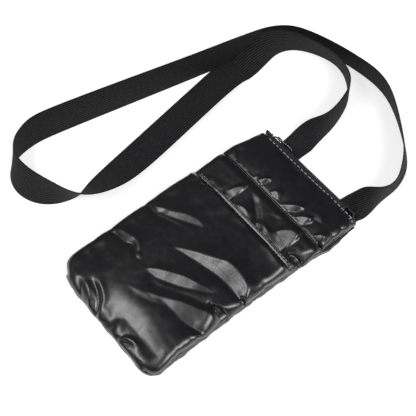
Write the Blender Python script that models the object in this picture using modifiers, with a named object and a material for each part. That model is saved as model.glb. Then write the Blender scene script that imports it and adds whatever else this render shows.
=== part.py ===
"""Padded crossbody pouch with a zip top, lying on its back on a table.

Metres, +Z up. +X runs across the pouch, +Y from its bottom edge to its zip, and the
front panel faces up. The origin is below the middle of the pouch, on the table. Each
panel is a stack of outer fabric, wadding and lining, joined by the edge binding. The
zip closes the mouth, and the webbing strap leaves the back seam at both ends of it.
"""
import math

import bmesh
import bpy
from mathutils import Matrix, Vector

# The whole pouch
BAG_WIDTH = 0.112
BAG_LENGTH = 0.204           # bottom edge to the outer face of the zip tapes
CORNER_RADIUS = 0.010        # rounded bottom corners
PIECE_GAP = 0.0003           # between pieces that touch

# Cloth layers
SHELL_THICKNESS = 0.0005     # coated outer fabric
LINING_THICKNESS = 0.0004
BACK_WADDING = 0.0030
POCKET_WADDING = 0.0022
COMPARTMENT_DEPTH = 0.0047   # free height of the main compartment
POCKET_DEPTH = 0.0044        # free height of the slip pocket
FRONT_PAD = 0.0026           # front wadding under the slip pocket

# Edge binding, which folds over the panels' raw edges
BINDING_WIDTH = 0.0024
BINDING_LOW = 0.0030
BINDING_HIGH = 0.0080
RIM_SLOPE = 0.008            # width of the band in which a panel drops to its rim
WADDING_INSET = 0.0025       # the wadding stops short of the seam
RIM_STEPS = (0.0, 0.001, WADDING_INSET, 0.005, RIM_SLOPE)
BACK_RIM_RISE = 0.0034       # height of the back panel's rim above the table

# Places along the front, measured down from the zip tapes' outer face
QUILT_SEAM_DROP = 0.041
POCKET_MOUTH_DROP = 0.067
HEM_WIDTH = 0.0040
HEM_THICKNESS = 0.0020
SHELL_MOUTH_DROP = 0.0030    # front and back fabric stop here, on the tapes
WADDING_MOUTH_DROP = 0.0100
MOUTH_SLOPE = 0.024          # length in which the linings spread towards the mouth

# Puffed bands of the front panel
UPPER_PUFF = 0.0026
SECOND_PUFF = 0.0010
QUILT_SINK = 0.0010          # depth of the sewn quilting channel
QUILT_CHANNEL = 0.0055       # half its width
POCKET_CROWN = 0.0012
CREASE_SINK = 0.0014
CREASE_WIDTH = 0.0075

# Zip
TAPE_THICKNESS = 0.0005
TAPE_FLANGE = 0.0080         # part of each tape sewn in under the panel's edge
BACK_FLANGE_HEIGHT = 0.0023
FRONT_FLANGE_HEIGHT = 0.0113
COIL_GAP = 0.0013            # clear channel between the two coils
TAPE_INNER_GAP = 0.0020      # clear width between the tapes behind the coils
COIL_WIDTH = 0.0019
COIL_THICKNESS = 0.0015
TOOTH_PITCH = 0.0020
TOOTH_DEPTH = 0.0008
STOP_LENGTH = 0.0016
STOP_RISE = 0.0003           # a stop stands this much higher than the coil
END_TAB_WIDTH = 0.0070
END_TAB_DEPTH = 0.0024
END_TAB_HEIGHT = 0.0062
END_TAB_BEVEL = 0.0008

# Zip slider and puller
SLIDER_LENGTH = 0.0096
SLIDER_WIDTH = 0.0068
SLIDER_NOSE = 0.0048         # width of the narrow rear end
WING_THICKNESS = 0.0009
FLANGE_THICKNESS = 0.0006
FLANGE_INSET = 0.0001        # the flanges stand this far in from the wing's edge
POST_WIDTH = 0.0006
POST_LENGTH = 0.0018
SLIDER_GAP = 0.0004          # running gap between slider and chain
BRIDGE_LENGTH = 0.0052
BRIDGE_WIDTH = 0.0020
BRIDGE_WALL = 0.0007
BRIDGE_CLEAR = 0.0016        # clear height under the bridge
PULLER_LENGTH = 0.0155
PULLER_WIDTH = 0.0044
PULLER_THICKNESS = 0.0010
PULLER_EYE = 0.0066          # length of the window that the bridge passes through
PULLER_BAR = 0.0010
STOP_CLEAR = 0.0008          # between the shut slider and the top stops

# Stitching
THREAD_RADIUS = 0.0003
STITCH_PITCH = 0.0052
STITCH_WAIST_SHARE = 0.55    # thread radius where a stitch dips, as a share
TOPSTITCH_INSET = 0.0016
HEM_STITCH_INSET = 0.0009

# Strap
STRAP_WIDTH = 0.030
STRAP_THICKNESS = 0.0012
STRAP_FLOOR_GAP = 0.0001
STRAP_POINT_PITCH = 0.0145
STRAP_STITCH_ROWS = 3
STRAP_STITCH_STEP = 0.0009
STRAP_STITCH_MARGIN = 0.0025
STRAP_STITCH_START = 0.0007  # first row's place beyond the zip tapes' face
STRAP_SEAM_LIFT = 0.0008     # the sewn ends lie this much above the table
STRAP_SEWN_FROM = -0.060     # and they are the points right of this, below the zip

# The strap's way from the right end of the mouth round to the left end: x, y, the roll
# of its face about its own length in degrees, and the share of its width left where it
# is gathered. Rolls 0 and 360 lie flat, and 90 and 270 stand on an edge.
STRAP_ROUTE = (
    (0.0443, 0.0925, 0, 0.78), (0.0443, 0.1045, 1, 0.78), (0.0464, 0.1080, 27, 0.82),
    (0.0503, 0.1115, 52, 0.88), (0.0535, 0.1160, 77, 0.95), (0.0555, 0.1220, 93, 1.0),
    (0.0565, 0.1350, 99, 1.0), (0.0520, 0.1500, 84, 1.0), (0.0370, 0.1705, 75, 1.0),
    (-0.0120, 0.2005, 78, 1.0), (-0.0540, 0.2010, 75, 1.0), (-0.1010, 0.1870, 75, 1.0),
    (-0.1185, 0.1670, 82, 1.0), (-0.1260, 0.1380, 89, 1.0), (-0.1360, 0.0930, 93, 1.0),
    (-0.1655, -0.0300, 100, 1.0), (-0.1670, -0.0550, 95, 1.0), (-0.1610, -0.0720, 83, 1.0),
    (-0.1480, -0.0810, 68, 1.0), (-0.1310, -0.0805, 62, 1.0), (-0.1155, -0.0740, 74, 1.0),
    (-0.1040, -0.0645, 97, 1.0), (-0.0950, -0.0520, 125, 1.0), (-0.0955, -0.0350, 149, 1.0),
    (-0.1000, 0.0020, 168, 1.0), (-0.1170, 0.1120, 172, 1.0), (-0.1185, 0.1380, 198, 1.0),
    (-0.1140, 0.1525, 240, 1.0), (-0.1095, 0.1670, 270, 1.0), (-0.0960, 0.1812, 285, 1.0),
    (-0.0640, 0.1910, 290, 1.0), (-0.0345, 0.1780, 272, 1.0), (-0.0225, 0.1500, 273, 1.0),
    (-0.0218, 0.1360, 279, 1.0), (-0.0226, 0.1300, 289, 0.97), (-0.0250, 0.1262, 310, 0.82),
    (-0.0268, 0.1228, 334, 0.72), (-0.0270, 0.1195, 354, 0.72), (-0.0268, 0.1050, 360, 0.72),
    (-0.0265, 0.0925, 360, 0.73),
)

# Heights and places worked out from the sizes above
SLIDER_BODY_DEPTH = COIL_THICKNESS + PIECE_GAP + SLIDER_GAP + WING_THICKNESS
SLIDER_STAND = SLIDER_BODY_DEPTH + BRIDGE_CLEAR + BRIDGE_WALL
TAPE_FACE = (BAG_LENGTH - SLIDER_STAND) / 2
BOTTOM_EDGE = TAPE_FACE - BAG_LENGTH
RIM_HALF = BAG_WIDTH / 2 - BINDING_WIDTH - PIECE_GAP
RIM_BOTTOM = BOTTOM_EDGE + BINDING_WIDTH + PIECE_GAP
RIM_RADIUS = CORNER_RADIUS - BINDING_WIDTH - PIECE_GAP
SHELL_TOP = TAPE_FACE - SHELL_MOUTH_DROP
QUILT_SEAM = TAPE_FACE - QUILT_SEAM_DROP
POCKET_MOUTH = TAPE_FACE - POCKET_MOUTH_DROP
POCKET_TOP = POCKET_MOUTH - HEM_WIDTH - PIECE_GAP
WADDING_TOP = TAPE_FACE - WADDING_MOUTH_DROP
ZIP_HALF = RIM_HALF - RIM_SLOPE - PIECE_GAP
SLIDER_REST = SLIDER_LENGTH / 2 + STOP_CLEAR + STOP_LENGTH - ZIP_HALF
ZIP_HEIGHT = (BACK_FLANGE_HEIGHT + FRONT_FLANGE_HEIGHT + TAPE_THICKNESS) / 2
COIL_FACE = TAPE_FACE + PIECE_GAP
SHELL_STEP = SHELL_THICKNESS + PIECE_GAP
LINING_STEP = LINING_THICKNESS + PIECE_GAP
BACK_LINING_REST = SHELL_STEP + BACK_WADDING + PIECE_GAP
BACK_LINING_MOUTH = BACK_FLANGE_HEIGHT + TAPE_THICKNESS + PIECE_GAP
BACK_LINING_RIM = BACK_RIM_RISE + SHELL_STEP
FRONT_LINING_REST = BACK_LINING_REST + LINING_THICKNESS + COMPARTMENT_DEPTH
FRONT_LINING_MOUTH = FRONT_FLANGE_HEIGHT - LINING_STEP
FRONT_LINING_RIM = BACK_LINING_RIM + LINING_STEP
FRONT_SHELL_REST = FRONT_LINING_REST + LINING_STEP + FRONT_PAD
FRONT_SHELL_MOUTH = FRONT_FLANGE_HEIGHT + TAPE_THICKNESS + PIECE_GAP
FRONT_SHELL_RIM = FRONT_LINING_RIM + LINING_STEP
POCKET_LINING_REST = FRONT_SHELL_REST + SHELL_THICKNESS + POCKET_DEPTH
POCKET_LINING_RIM = FRONT_SHELL_RIM + SHELL_STEP
POCKET_SHELL_REST = POCKET_LINING_REST + LINING_STEP + POCKET_WADDING
POCKET_SHELL_RIM = POCKET_LINING_RIM + LINING_STEP

# Creases of the pocket panel: both ends as shares of the panel's half width and height
CREASE_SHARES = (
    ((-1.0, 0.80), (-0.35, 0.86)),
    ((1.0, 0.66), (0.25, 0.60)),
    ((-1.0, 0.46), (-0.45, 0.42)),
    ((1.0, 0.30), (0.45, 0.34)),
    ((-0.55, 0.0), (-0.25, 0.16)),
    ((0.45, 0.0), (0.40, 0.14)),
)

PARTS = "crossbody_pouch"
COLOURS = {
    "shell": ((0.014, 0.014, 0.016), 0.22, 0.0),
    "wadding": ((0.80, 0.80, 0.78), 0.95, 0.0),
    "lining": ((0.022, 0.022, 0.024), 0.70, 0.0),
    "binding": ((0.012, 0.012, 0.013), 0.45, 0.0),
    "tape": ((0.016, 0.016, 0.017), 0.85, 0.0),
    "coil": ((0.012, 0.012, 0.013), 0.40, 0.0),
    "metal": ((0.20, 0.20, 0.21), 0.25, 1.0),
    "thread": ((0.030, 0.030, 0.032), 0.60, 0.0),
    "webbing": ((0.018, 0.018, 0.019), 0.80, 0.0),
}


def clear_scene():
    for thing in list(bpy.data.objects):
        bpy.data.objects.remove(thing, do_unlink=True)


def make_collection(name):
    collection = bpy.data.collections.new(name)
    bpy.context.scene.collection.children.link(collection)
    return collection


def make_material(name, kind):
    """One Principled material for a sub-part."""
    colour, roughness, metallic = COLOURS[kind]
    material = bpy.data.materials.new(name)
    material.use_nodes = True
    shader = material.node_tree.nodes["Principled BSDF"]
    shader.inputs["Base Color"].default_value = (*colour, 1.0)
    shader.inputs["Roughness"].default_value = roughness
    shader.inputs["Metallic"].default_value = metallic
    material.diffuse_color = (*colour, 1.0)
    return material


def add_object(name, data, kind):
    thing = bpy.data.objects.new(name, data)
    bpy.data.collections[PARTS].objects.link(thing)
    data.materials.append(make_material(name, kind))
    return thing


def mesh_object(name, work, kind):
    """Turns a bmesh into a named object with smooth faces and sharp corners."""
    bmesh.ops.recalc_face_normals(work, faces=work.faces)
    mesh = bpy.data.meshes.new(name)
    work.to_mesh(mesh)
    work.free()
    mesh.shade_smooth()
    mesh.set_sharp_from_angle(angle=math.radians(40))
    return add_object(name, mesh, kind)


def rise(share):
    """A quarter circle from 0 to 1: how a padded edge swells up from its seam."""
    share = min(max(share, 0.0), 1.0)
    return math.sqrt(1.0 - (1.0 - share) ** 2)


def ease(share):
    share = min(max(share, 0.0), 1.0)
    return share * share * (3.0 - 2.0 * share)


def mix(first, second, share):
    return first + (second - first) * share


def rim_half_width(y):
    """Half the panels' width at y: it narrows round the bottom corners."""
    climb = y - RIM_BOTTOM
    if climb >= RIM_RADIUS:
        return RIM_HALF
    drop = RIM_RADIUS - max(climb, 0.0)
    return RIM_HALF - RIM_RADIUS + math.sqrt(RIM_RADIUS ** 2 - drop ** 2)


def swell(x, y):
    """0 at the sewn rim, 1 where the panel lies at its full height."""
    side = rise((rim_half_width(y) - abs(x)) / RIM_SLOPE)
    return side * rise((y - RIM_BOTTOM) / RIM_SLOPE)


def mouth_share(y):
    return ease((y - WADDING_TOP + MOUTH_SLOPE) / MOUTH_SLOPE)


def back_shell_low(x, y):
    fade = 1.0 - mouth_share(y)
    return BACK_RIM_RISE * (1.0 - swell(x, y)) * fade


def back_lining_low(x, y):
    inside = mix(BACK_LINING_REST, BACK_LINING_MOUTH, mouth_share(y))
    return mix(BACK_LINING_RIM, inside, swell(x, y))


def front_lining_low(x, y):
    inside = mix(FRONT_LINING_REST, FRONT_LINING_MOUTH, mouth_share(y))
    return mix(FRONT_LINING_RIM, inside, swell(x, y))


def front_shell_low(x, y):
    """Two puffed bands with the quilting channel between them."""
    channel = math.exp(-((y - QUILT_SEAM) / QUILT_CHANNEL) ** 2)
    upper = math.sin(math.pi * min(max((y - QUILT_SEAM) / (WADDING_TOP - QUILT_SEAM), 0), 1))
    lower = math.sin(math.pi * min(max((QUILT_SEAM - y) / (QUILT_SEAM - POCKET_MOUTH), 0), 1))
    inside = mix(FRONT_SHELL_REST, FRONT_SHELL_MOUTH, mouth_share(y))
    inside += UPPER_PUFF * upper + SECOND_PUFF * lower - QUILT_SINK * channel
    return mix(FRONT_SHELL_RIM, inside, swell(x, y))


def crease_sink(x, y):
    """How far the pocket panel is drawn in by its creases at a point."""
    height = POCKET_TOP - RIM_BOTTOM
    sink = 0.0
    for start, end in CREASE_SHARES:
        first = Vector((start[0] * RIM_HALF, RIM_BOTTOM + start[1] * height))
        last = Vector((end[0] * RIM_HALF, RIM_BOTTOM + end[1] * height))
        along = last - first
        share = (Vector((x, y)) - first).dot(along) / along.length_squared
        share = min(max(share, 0.0), 1.0)
        away = (Vector((x, y)) - first - along * share).length
        sink += CREASE_SINK * (1.0 - share) * math.exp(-(away / CREASE_WIDTH) ** 2)
    return sink


def pocket_lining_low(x, y):
    return mix(POCKET_LINING_RIM, POCKET_LINING_REST, swell(x, y))


def pocket_shell_low(x, y):
    """Crowned panel, drawn in by creases and down to the hem at its mouth."""
    crown = POCKET_CROWN * (1.0 - (x / RIM_HALF) ** 2)
    inside = POCKET_SHELL_REST + crown - crease_sink(x, y)
    hem = POCKET_LINING_REST + HEM_THICKNESS - SHELL_THICKNESS
    inside = mix(inside, hem, ease((y - POCKET_TOP + RIM_SLOPE) / RIM_SLOPE))
    return mix(POCKET_SHELL_RIM, inside, swell(x, y))


def column_places(inset):
    """Places across the width: close together on the rim's slope, wide apart inside."""
    slope = [RIM_HALF - step for step in RIM_STEPS if step > inset]
    edge = RIM_HALF - inset
    flat = RIM_HALF - RIM_SLOPE
    inner_shares = (0.78, 0.52, 0.26)
    half = [edge] + slope + [flat * share for share in inner_shares]
    return [-x for x in half] + [0.0] + half[::-1]


def row_places(inset, top, inner):
    """Places along the length: close together above the bottom seam, then the inner ones."""
    slope = [RIM_BOTTOM + step for step in RIM_STEPS if step > inset]
    return [RIM_BOTTOM + inset] + slope + [y for y in inner if y < top] + [top]


def panel_layer(name, kind, inset, rows, low, high):
    """A closed cloth layer: a grid raised by its thickness, shaped by two height fields."""
    columns = column_places(inset)
    work = bmesh.new()
    bmesh.ops.create_grid(work, x_segments=len(columns) - 1, y_segments=len(rows) - 1, size=1.0)
    lower = list(work.verts)
    raised = bmesh.ops.extrude_face_region(work, geom=list(work.faces), use_keep_orig=True)
    upper = [item for item in raised["geom"] if isinstance(item, bmesh.types.BMVert)]
    for verts, height in ((lower, low), (upper, high)):
        for vert in verts:
            column = round((vert.co.x + 1.0) / 2.0 * (len(columns) - 1))
            row = round((vert.co.y + 1.0) / 2.0 * (len(rows) - 1))
            y = rows[row]
            x = columns[column] * rim_half_width(y) / RIM_HALF
            vert.co = (x, y, height(x, y))
    return mesh_object(name, work, kind)


def above(field, step):
    return lambda x, y: field(x, y) + step


def interior_rows(low, high, count):
    return [mix(low, high, (index + 1) / (count + 1)) for index in range(count)]


def make_back():
    inner = interior_rows(RIM_BOTTOM + RIM_SLOPE, WADDING_TOP - MOUTH_SLOPE, 3)
    inner += [WADDING_TOP - MOUTH_SLOPE]
    inner += interior_rows(WADDING_TOP - MOUTH_SLOPE, WADDING_TOP, 3) + [WADDING_TOP]
    rows = row_places(0.0, SHELL_TOP, inner)
    panel_layer("back_shell", "shell", 0.0, rows, back_shell_low,
                above(back_shell_low, SHELL_THICKNESS))
    panel_layer("back_lining", "lining", 0.0, rows, back_lining_low,
                above(back_lining_low, LINING_THICKNESS))
    pad_low = above(back_shell_low, SHELL_STEP)
    pad_rows = row_places(WADDING_INSET, WADDING_TOP, inner)
    panel_layer("back_wadding", "wadding", WADDING_INSET, pad_rows, pad_low,
                lambda x, y: back_lining_low(x, y) - PIECE_GAP)


def front_rows():
    inner = interior_rows(RIM_BOTTOM + RIM_SLOPE, POCKET_MOUTH, 2) + [POCKET_MOUTH]
    lower = QUILT_SEAM - QUILT_CHANNEL
    upper = QUILT_SEAM + QUILT_CHANNEL
    inner += interior_rows(POCKET_MOUTH, lower, 2) + [lower]
    inner += interior_rows(lower, upper, 3) + [upper]
    return inner + interior_rows(upper, WADDING_TOP, 3) + [WADDING_TOP]


def make_front():
    inner = front_rows()
    rows = row_places(0.0, SHELL_TOP, inner + [SHELL_TOP - TOPSTITCH_INSET])
    panel_layer("front_lining", "lining", 0.0, rows, front_lining_low,
                above(front_lining_low, LINING_THICKNESS))
    panel_layer("front_shell", "shell", 0.0, rows, front_shell_low,
                above(front_shell_low, SHELL_THICKNESS))
    pad_rows = row_places(WADDING_INSET, WADDING_TOP, inner)
    panel_layer("front_wadding", "wadding", WADDING_INSET, pad_rows,
                above(front_lining_low, LINING_STEP),
                lambda x, y: front_shell_low(x, y) - PIECE_GAP)


def pocket_rows():
    start = RIM_BOTTOM + RIM_SLOPE
    return interior_rows(start, POCKET_TOP - RIM_SLOPE, 7) + [POCKET_TOP - RIM_SLOPE]


def make_pocket():
    inner = pocket_rows()
    slope = interior_rows(POCKET_TOP - RIM_SLOPE, POCKET_TOP, 1)
    rows = row_places(0.0, POCKET_TOP, inner + slope)
    panel_layer("pocket_lining", "lining", 0.0, rows, pocket_lining_low,
                above(pocket_lining_low, LINING_THICKNESS))
    panel_layer("pocket_shell", "shell", 0.0, rows, pocket_shell_low,
                above(pocket_shell_low, SHELL_THICKNESS))
    pad_rows = row_places(WADDING_INSET, POCKET_TOP - RIM_SLOPE, inner)
    panel_layer("pocket_wadding", "wadding", WADDING_INSET, pad_rows,
                above(pocket_lining_low, LINING_STEP),
                lambda x, y: pocket_shell_low(x, y) - PIECE_GAP)
    hem_rows = [POCKET_MOUTH - HEM_WIDTH, POCKET_MOUTH - HEM_WIDTH + HEM_STITCH_INSET,
                POCKET_MOUTH - HEM_STITCH_INSET, POCKET_MOUTH]
    panel_layer("pocket_hem", "shell", 0.0, hem_rows, pocket_lining_low, hem_top)


def hem_top(x, y):
    edge = POCKET_SHELL_RIM + SHELL_THICKNESS
    return mix(edge, POCKET_LINING_REST + HEM_THICKNESS, swell(x, y))


def arc_points(centre, radius, start, end, count):
    """Points on an arc, from one angle in degrees to another."""
    angles = [math.radians(mix(start, end, index / count)) for index in range(count + 1)]
    return [(centre[0] + radius * math.cos(a), centre[1] + radius * math.sin(a)) for a in angles]


def edge_line(inset):
    """The pouch's U-shaped edge line, down the left side and up the right one."""
    half = BAG_WIDTH / 2 - inset
    radius = CORNER_RADIUS - inset
    low = BOTTOM_EDGE + inset
    left = arc_points((-half + radius, low + radius), radius, 180, 270, 5)
    right = arc_points((half - radius, low + radius), radius, 270, 360, 5)
    return [(-half, SHELL_TOP)] + left + right + [(half, SHELL_TOP)]


def flat_outline(name, kind, points, depth):
    """A filled 2D outline with the given full depth, as a mesh about its own plane."""
    curve = bpy.data.curves.new(name, "CURVE")
    curve.dimensions = "2D"
    curve.fill_mode = "BOTH"
    curve.extrude = depth / 2
    spline = curve.splines.new("POLY")
    spline.points.add(len(points) - 1)
    for point, place in zip(spline.points, points):
        point.co = (*place, 0.0, 1.0)
    spline.use_cyclic_u = True
    thing = add_object(name, curve, kind)
    return thing


def to_mesh(thing):
    """Replaces a curve object by its welded mesh, in world coordinates."""
    bpy.context.view_layer.update()
    evaluated = thing.evaluated_get(bpy.context.evaluated_depsgraph_get())
    mesh = bpy.data.meshes.new_from_object(evaluated)
    mesh.transform(thing.matrix_world)
    name = thing.name
    collections = list(thing.users_collection)
    bpy.data.objects.remove(thing, do_unlink=True)
    work = bmesh.new()
    work.from_mesh(mesh)
    bmesh.ops.remove_doubles(work, verts=work.verts, dist=0.00001)
    bmesh.ops.recalc_face_normals(work, faces=work.faces)
    work.to_mesh(mesh)
    work.free()
    fresh = bpy.data.objects.new(name, mesh)
    for collection in collections:
        collection.objects.link(fresh)
    return fresh


def make_binding():
    outline = edge_line(0.0) + edge_line(BINDING_WIDTH)[::-1]
    binding = flat_outline("edge_binding", "binding", outline, BINDING_HIGH - BINDING_LOW)
    binding.location.z = (BINDING_HIGH + BINDING_LOW) / 2


def stand_profile(thing, middle):
    """Turns an outline drawn in the YZ plane, so that its depth runs along X."""
    thing.matrix_world = Matrix.Translation((middle, 0.0, 0.0)) @ Matrix(
        ((0, 0, 1, 0), (1, 0, 0, 0), (0, 1, 0, 0), (0, 0, 0, 1)))


def lay_profile(thing, low_y, depth):
    """Turns an outline drawn in the XZ plane, so that its depth runs along Y."""
    thing.matrix_world = Matrix.Translation((0.0, low_y + depth / 2, 0.0)) @ Matrix(
        ((1, 0, 0, 0), (0, 0, -1, 0), (0, 1, 0, 0), (0, 0, 0, 1)))


def make_tapes():
    inner = TAPE_FACE - TAPE_THICKNESS
    start = TAPE_FACE - TAPE_FLANGE
    for name, height, side in (("zip_tape_front", FRONT_FLANGE_HEIGHT + TAPE_THICKNESS, 1),
                               ("zip_tape_back", BACK_FLANGE_HEIGHT, -1)):
        lip = ZIP_HEIGHT + side * TAPE_INNER_GAP / 2
        under = height - side * TAPE_THICKNESS
        outline = [(TAPE_FACE, lip), (TAPE_FACE, height), (start, height), (start, under),
                   (inner, under), (inner, lip)]
        stand_profile(flat_outline(name, "tape", outline, 2 * ZIP_HALF), 0.0)


def make_coils():
    """Each coil is a comb: a solid root with teeth towards the other coil."""
    length = 2 * (ZIP_HALF - STOP_LENGTH - PIECE_GAP)
    count = int(length / TOOTH_PITCH)
    pitch = length / count
    for name, side in (("zip_coil_front", 1), ("zip_coil_back", -1)):
        tip = ZIP_HEIGHT + side * COIL_GAP / 2
        gullet = tip + side * TOOTH_DEPTH
        root = tip + side * COIL_WIDTH
        outline = [(-length / 2, root)]
        for index in range(count):
            start = -length / 2 + index * pitch
            outline += [(start, gullet), (start + pitch / 4, tip), (start + pitch / 2, tip),
                        (start + pitch * 3 / 4, gullet)]
        outline += [(length / 2, gullet), (length / 2, root)]
        lay_profile(flat_outline(name, "coil", outline, COIL_THICKNESS), COIL_FACE, COIL_THICKNESS)


def box_mesh(work, low, high):
    """Adds a box between two corners to a bmesh, from a unit cube."""
    size = [b - a for a, b in zip(low, high)]
    middle = [(a + b) / 2 for a, b in zip(low, high)]
    place = Matrix.Translation(middle) @ Matrix.Diagonal((*size, 1.0))
    bmesh.ops.create_cube(work, size=1.0, matrix=place)


def box_object(name, kind, low, high, bevel=0.0):
    work = bmesh.new()
    box_mesh(work, low, high)
    thing = mesh_object(name, work, kind)
    if bevel:
        rounding = thing.modifiers.new("rounding", "BEVEL")
        rounding.width = bevel
        rounding.segments = 2
    return thing


def make_stops():
    """Two top stops at the shut end, one bottom stop across both coils at the other."""
    outer = ZIP_HALF
    inner = ZIP_HALF - STOP_LENGTH
    front = COIL_FACE + COIL_THICKNESS + STOP_RISE
    near = COIL_GAP / 2
    far = near + COIL_WIDTH
    box_object("zip_top_stop_front", "metal", (-outer, COIL_FACE, ZIP_HEIGHT + near),
               (-inner, front, ZIP_HEIGHT + far))
    box_object("zip_top_stop_back", "metal", (-outer, COIL_FACE, ZIP_HEIGHT - far),
               (-inner, front, ZIP_HEIGHT - near))
    box_object("zip_bottom_stop", "metal", (inner, COIL_FACE, ZIP_HEIGHT - far),
               (outer, front, ZIP_HEIGHT + far))


def make_end_tabs():
    start = ZIP_HALF + PIECE_GAP
    low = TAPE_FACE - TAPE_THICKNESS
    bottom = ZIP_HEIGHT - END_TAB_HEIGHT / 2
    top = ZIP_HEIGHT + END_TAB_HEIGHT / 2
    end = start + END_TAB_WIDTH
    box_object("zip_end_tab_left", "binding", (-end, low, bottom),
               (-start, low + END_TAB_DEPTH, top), END_TAB_BEVEL)
    box_object("zip_end_tab_right", "binding", (start, low, bottom),
               (end, low + END_TAB_DEPTH, top), END_TAB_BEVEL)


def join_solids(target, others):
    """Unites other solids with the target by Boolean unions, and removes them."""
    for other in others:
        union = target.modifiers.new(other.name, "BOOLEAN")
        union.operation = "UNION"
        union.object = other
        union.solver = "EXACT"
    bpy.context.view_layer.update()
    evaluated = target.evaluated_get(bpy.context.evaluated_depsgraph_get())
    mesh = bpy.data.meshes.new_from_object(evaluated)
    target.modifiers.clear()
    target.data = mesh
    for other in others:
        bpy.data.objects.remove(other, do_unlink=True)


def wing(name, low_y):
    """A slider wing: wide at the nose that parts the coils, narrow at its tail."""
    half = SLIDER_LENGTH / 2
    shoulder = SLIDER_LENGTH / 6
    wide = SLIDER_WIDTH / 2
    narrow = SLIDER_NOSE / 2
    nose = narrow / 2
    outline = [(-half, nose), (-half, -nose), (-half + shoulder, -wide), (shoulder, -wide),
               (half, -narrow), (half, narrow), (shoulder, wide), (-half + shoulder, wide)]
    plate = flat_outline(name, "metal", outline, WING_THICKNESS)
    lay_profile(plate, low_y, WING_THICKNESS)
    return to_mesh(plate)


def make_slider():
    """Body of the slider: two wings, the post between them, side flanges and the bridge."""
    inner_wing = TAPE_FACE - TAPE_THICKNESS - SLIDER_GAP - WING_THICKNESS
    outer_wing = COIL_FACE + COIL_THICKNESS + SLIDER_GAP
    body = wing("slider_body", outer_wing)
    pieces = [wing("slider_inner_wing", inner_wing)]
    work = bmesh.new()
    box_mesh(work, (-POST_LENGTH / 2, inner_wing + WING_THICKNESS / 2, -POST_WIDTH / 2),
             (POST_LENGTH / 2, outer_wing + WING_THICKNESS / 2, POST_WIDTH / 2))
    pieces.append(mesh_object("slider_post", work, "metal"))
    shoulder = SLIDER_LENGTH / 6
    side_face = SLIDER_WIDTH / 2 - FLANGE_INSET
    for side in (-1, 1):
        edges = sorted((side * side_face, side * (side_face - FLANGE_THICKNESS)))
        work = bmesh.new()
        box_mesh(work, (-SLIDER_LENGTH / 2 + shoulder + FLANGE_INSET, TAPE_FACE + SLIDER_GAP,
                        edges[0]),
                 (shoulder - FLANGE_INSET, outer_wing + WING_THICKNESS / 2, edges[1]))
        pieces.append(mesh_object("slider_flange", work, "metal"))
    roof = outer_wing + WING_THICKNESS
    window = BRIDGE_LENGTH / 2 - BRIDGE_WALL
    foot = roof - WING_THICKNESS / 2
    peak = roof + BRIDGE_CLEAR
    crown = [(-BRIDGE_LENGTH / 2, foot), (-window, foot), (-window, peak), (window, peak),
             (window, foot), (BRIDGE_LENGTH / 2, foot), (BRIDGE_LENGTH / 2, peak - BRIDGE_WALL),
             (window, peak + BRIDGE_WALL), (-window, peak + BRIDGE_WALL),
             (-BRIDGE_LENGTH / 2, peak - BRIDGE_WALL)]
    bridge = flat_outline("slider_bridge", "metal", crown, BRIDGE_WIDTH)
    pieces.append(to_mesh(bridge))
    join_solids(body, pieces)
    body.location = (SLIDER_REST, 0.0, ZIP_HEIGHT)
    return roof + BRIDGE_CLEAR / 2


def make_puller(pivot_y):
    """A flat tab whose windowed end holds the bar under the bridge."""
    half = PULLER_WIDTH / 2
    start = -PULLER_BAR / 2
    tip = start + PULLER_LENGTH
    outline = [(start, -half), (tip - half, -half)]
    outline += arc_points((tip - half, 0.0), half, -90, 90, 6)[1:-1]
    outline += [(tip - half, half), (start, half)]
    tab = to_mesh(flat_outline("zip_puller", "metal", outline, PULLER_THICKNESS))
    work = bmesh.new()
    reach = PULLER_THICKNESS
    gap = BRIDGE_WIDTH / 2 + SLIDER_GAP
    box_mesh(work, (PULLER_BAR / 2, -gap, -reach), (PULLER_EYE, gap, reach))
    window = mesh_object("puller_window", work, "metal")
    cut = tab.modifiers.new("window", "BOOLEAN")
    cut.operation = "DIFFERENCE"
    cut.object = window
    cut.solver = "EXACT"
    bpy.context.view_layer.update()
    mesh = bpy.data.meshes.new_from_object(tab.evaluated_get(bpy.context.evaluated_depsgraph_get()))
    tab.modifiers.clear()
    tab.data = mesh
    bpy.data.objects.remove(window, do_unlink=True)
    tab.matrix_world = Matrix.Translation((SLIDER_REST, pivot_y, ZIP_HEIGHT)) @ Matrix(
        ((1, 0, 0, 0), (0, 0, -1, 0), (0, 1, 0, 0), (0, 0, 0, 1)))


def tube(name, kind, places, radius, radii=None):
    """A thread along the given places; radii are shares of the radius."""
    curve = bpy.data.curves.new(name, "CURVE")
    curve.dimensions = "3D"
    curve.bevel_depth = radius
    curve.bevel_resolution = 0
    curve.use_fill_caps = True
    spline = curve.splines.new("POLY")
    spline.points.add(len(places) - 1)
    for index, place in enumerate(places):
        spline.points[index].co = (*place, 1.0)
        spline.points[index].radius = radii[index] if radii else 1.0
    return add_object(name, curve, kind)


def on_mesh(field, inset, x, y):
    """Height of a panel layer's flat facets at a place on one of its rows."""
    columns = [place * rim_half_width(y) / RIM_HALF for place in column_places(inset)]
    for left, right in zip(columns, columns[1:]):
        if left <= x <= right:
            return mix(field(left, y), field(right, y), (x - left) / (right - left))
    return field(x, y)


def cross_stitch_row(name, field, y):
    """A row of lockstitch across a panel, its beads dipping towards the cloth."""
    reach = RIM_HALF - RIM_SLOPE
    count = 2 * round(2 * reach / STITCH_PITCH)
    lift = PIECE_GAP + THREAD_RADIUS
    places = []
    for index in range(count + 1):
        x = mix(-reach, reach, index / count)
        places.append((x, y, on_mesh(field, 0.0, x, y) + lift))
    radii = [1.0 if index % 2 else STITCH_WAIST_SHARE for index in range(count + 1)]
    tube(name, "thread", places, THREAD_RADIUS, radii)


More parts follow.
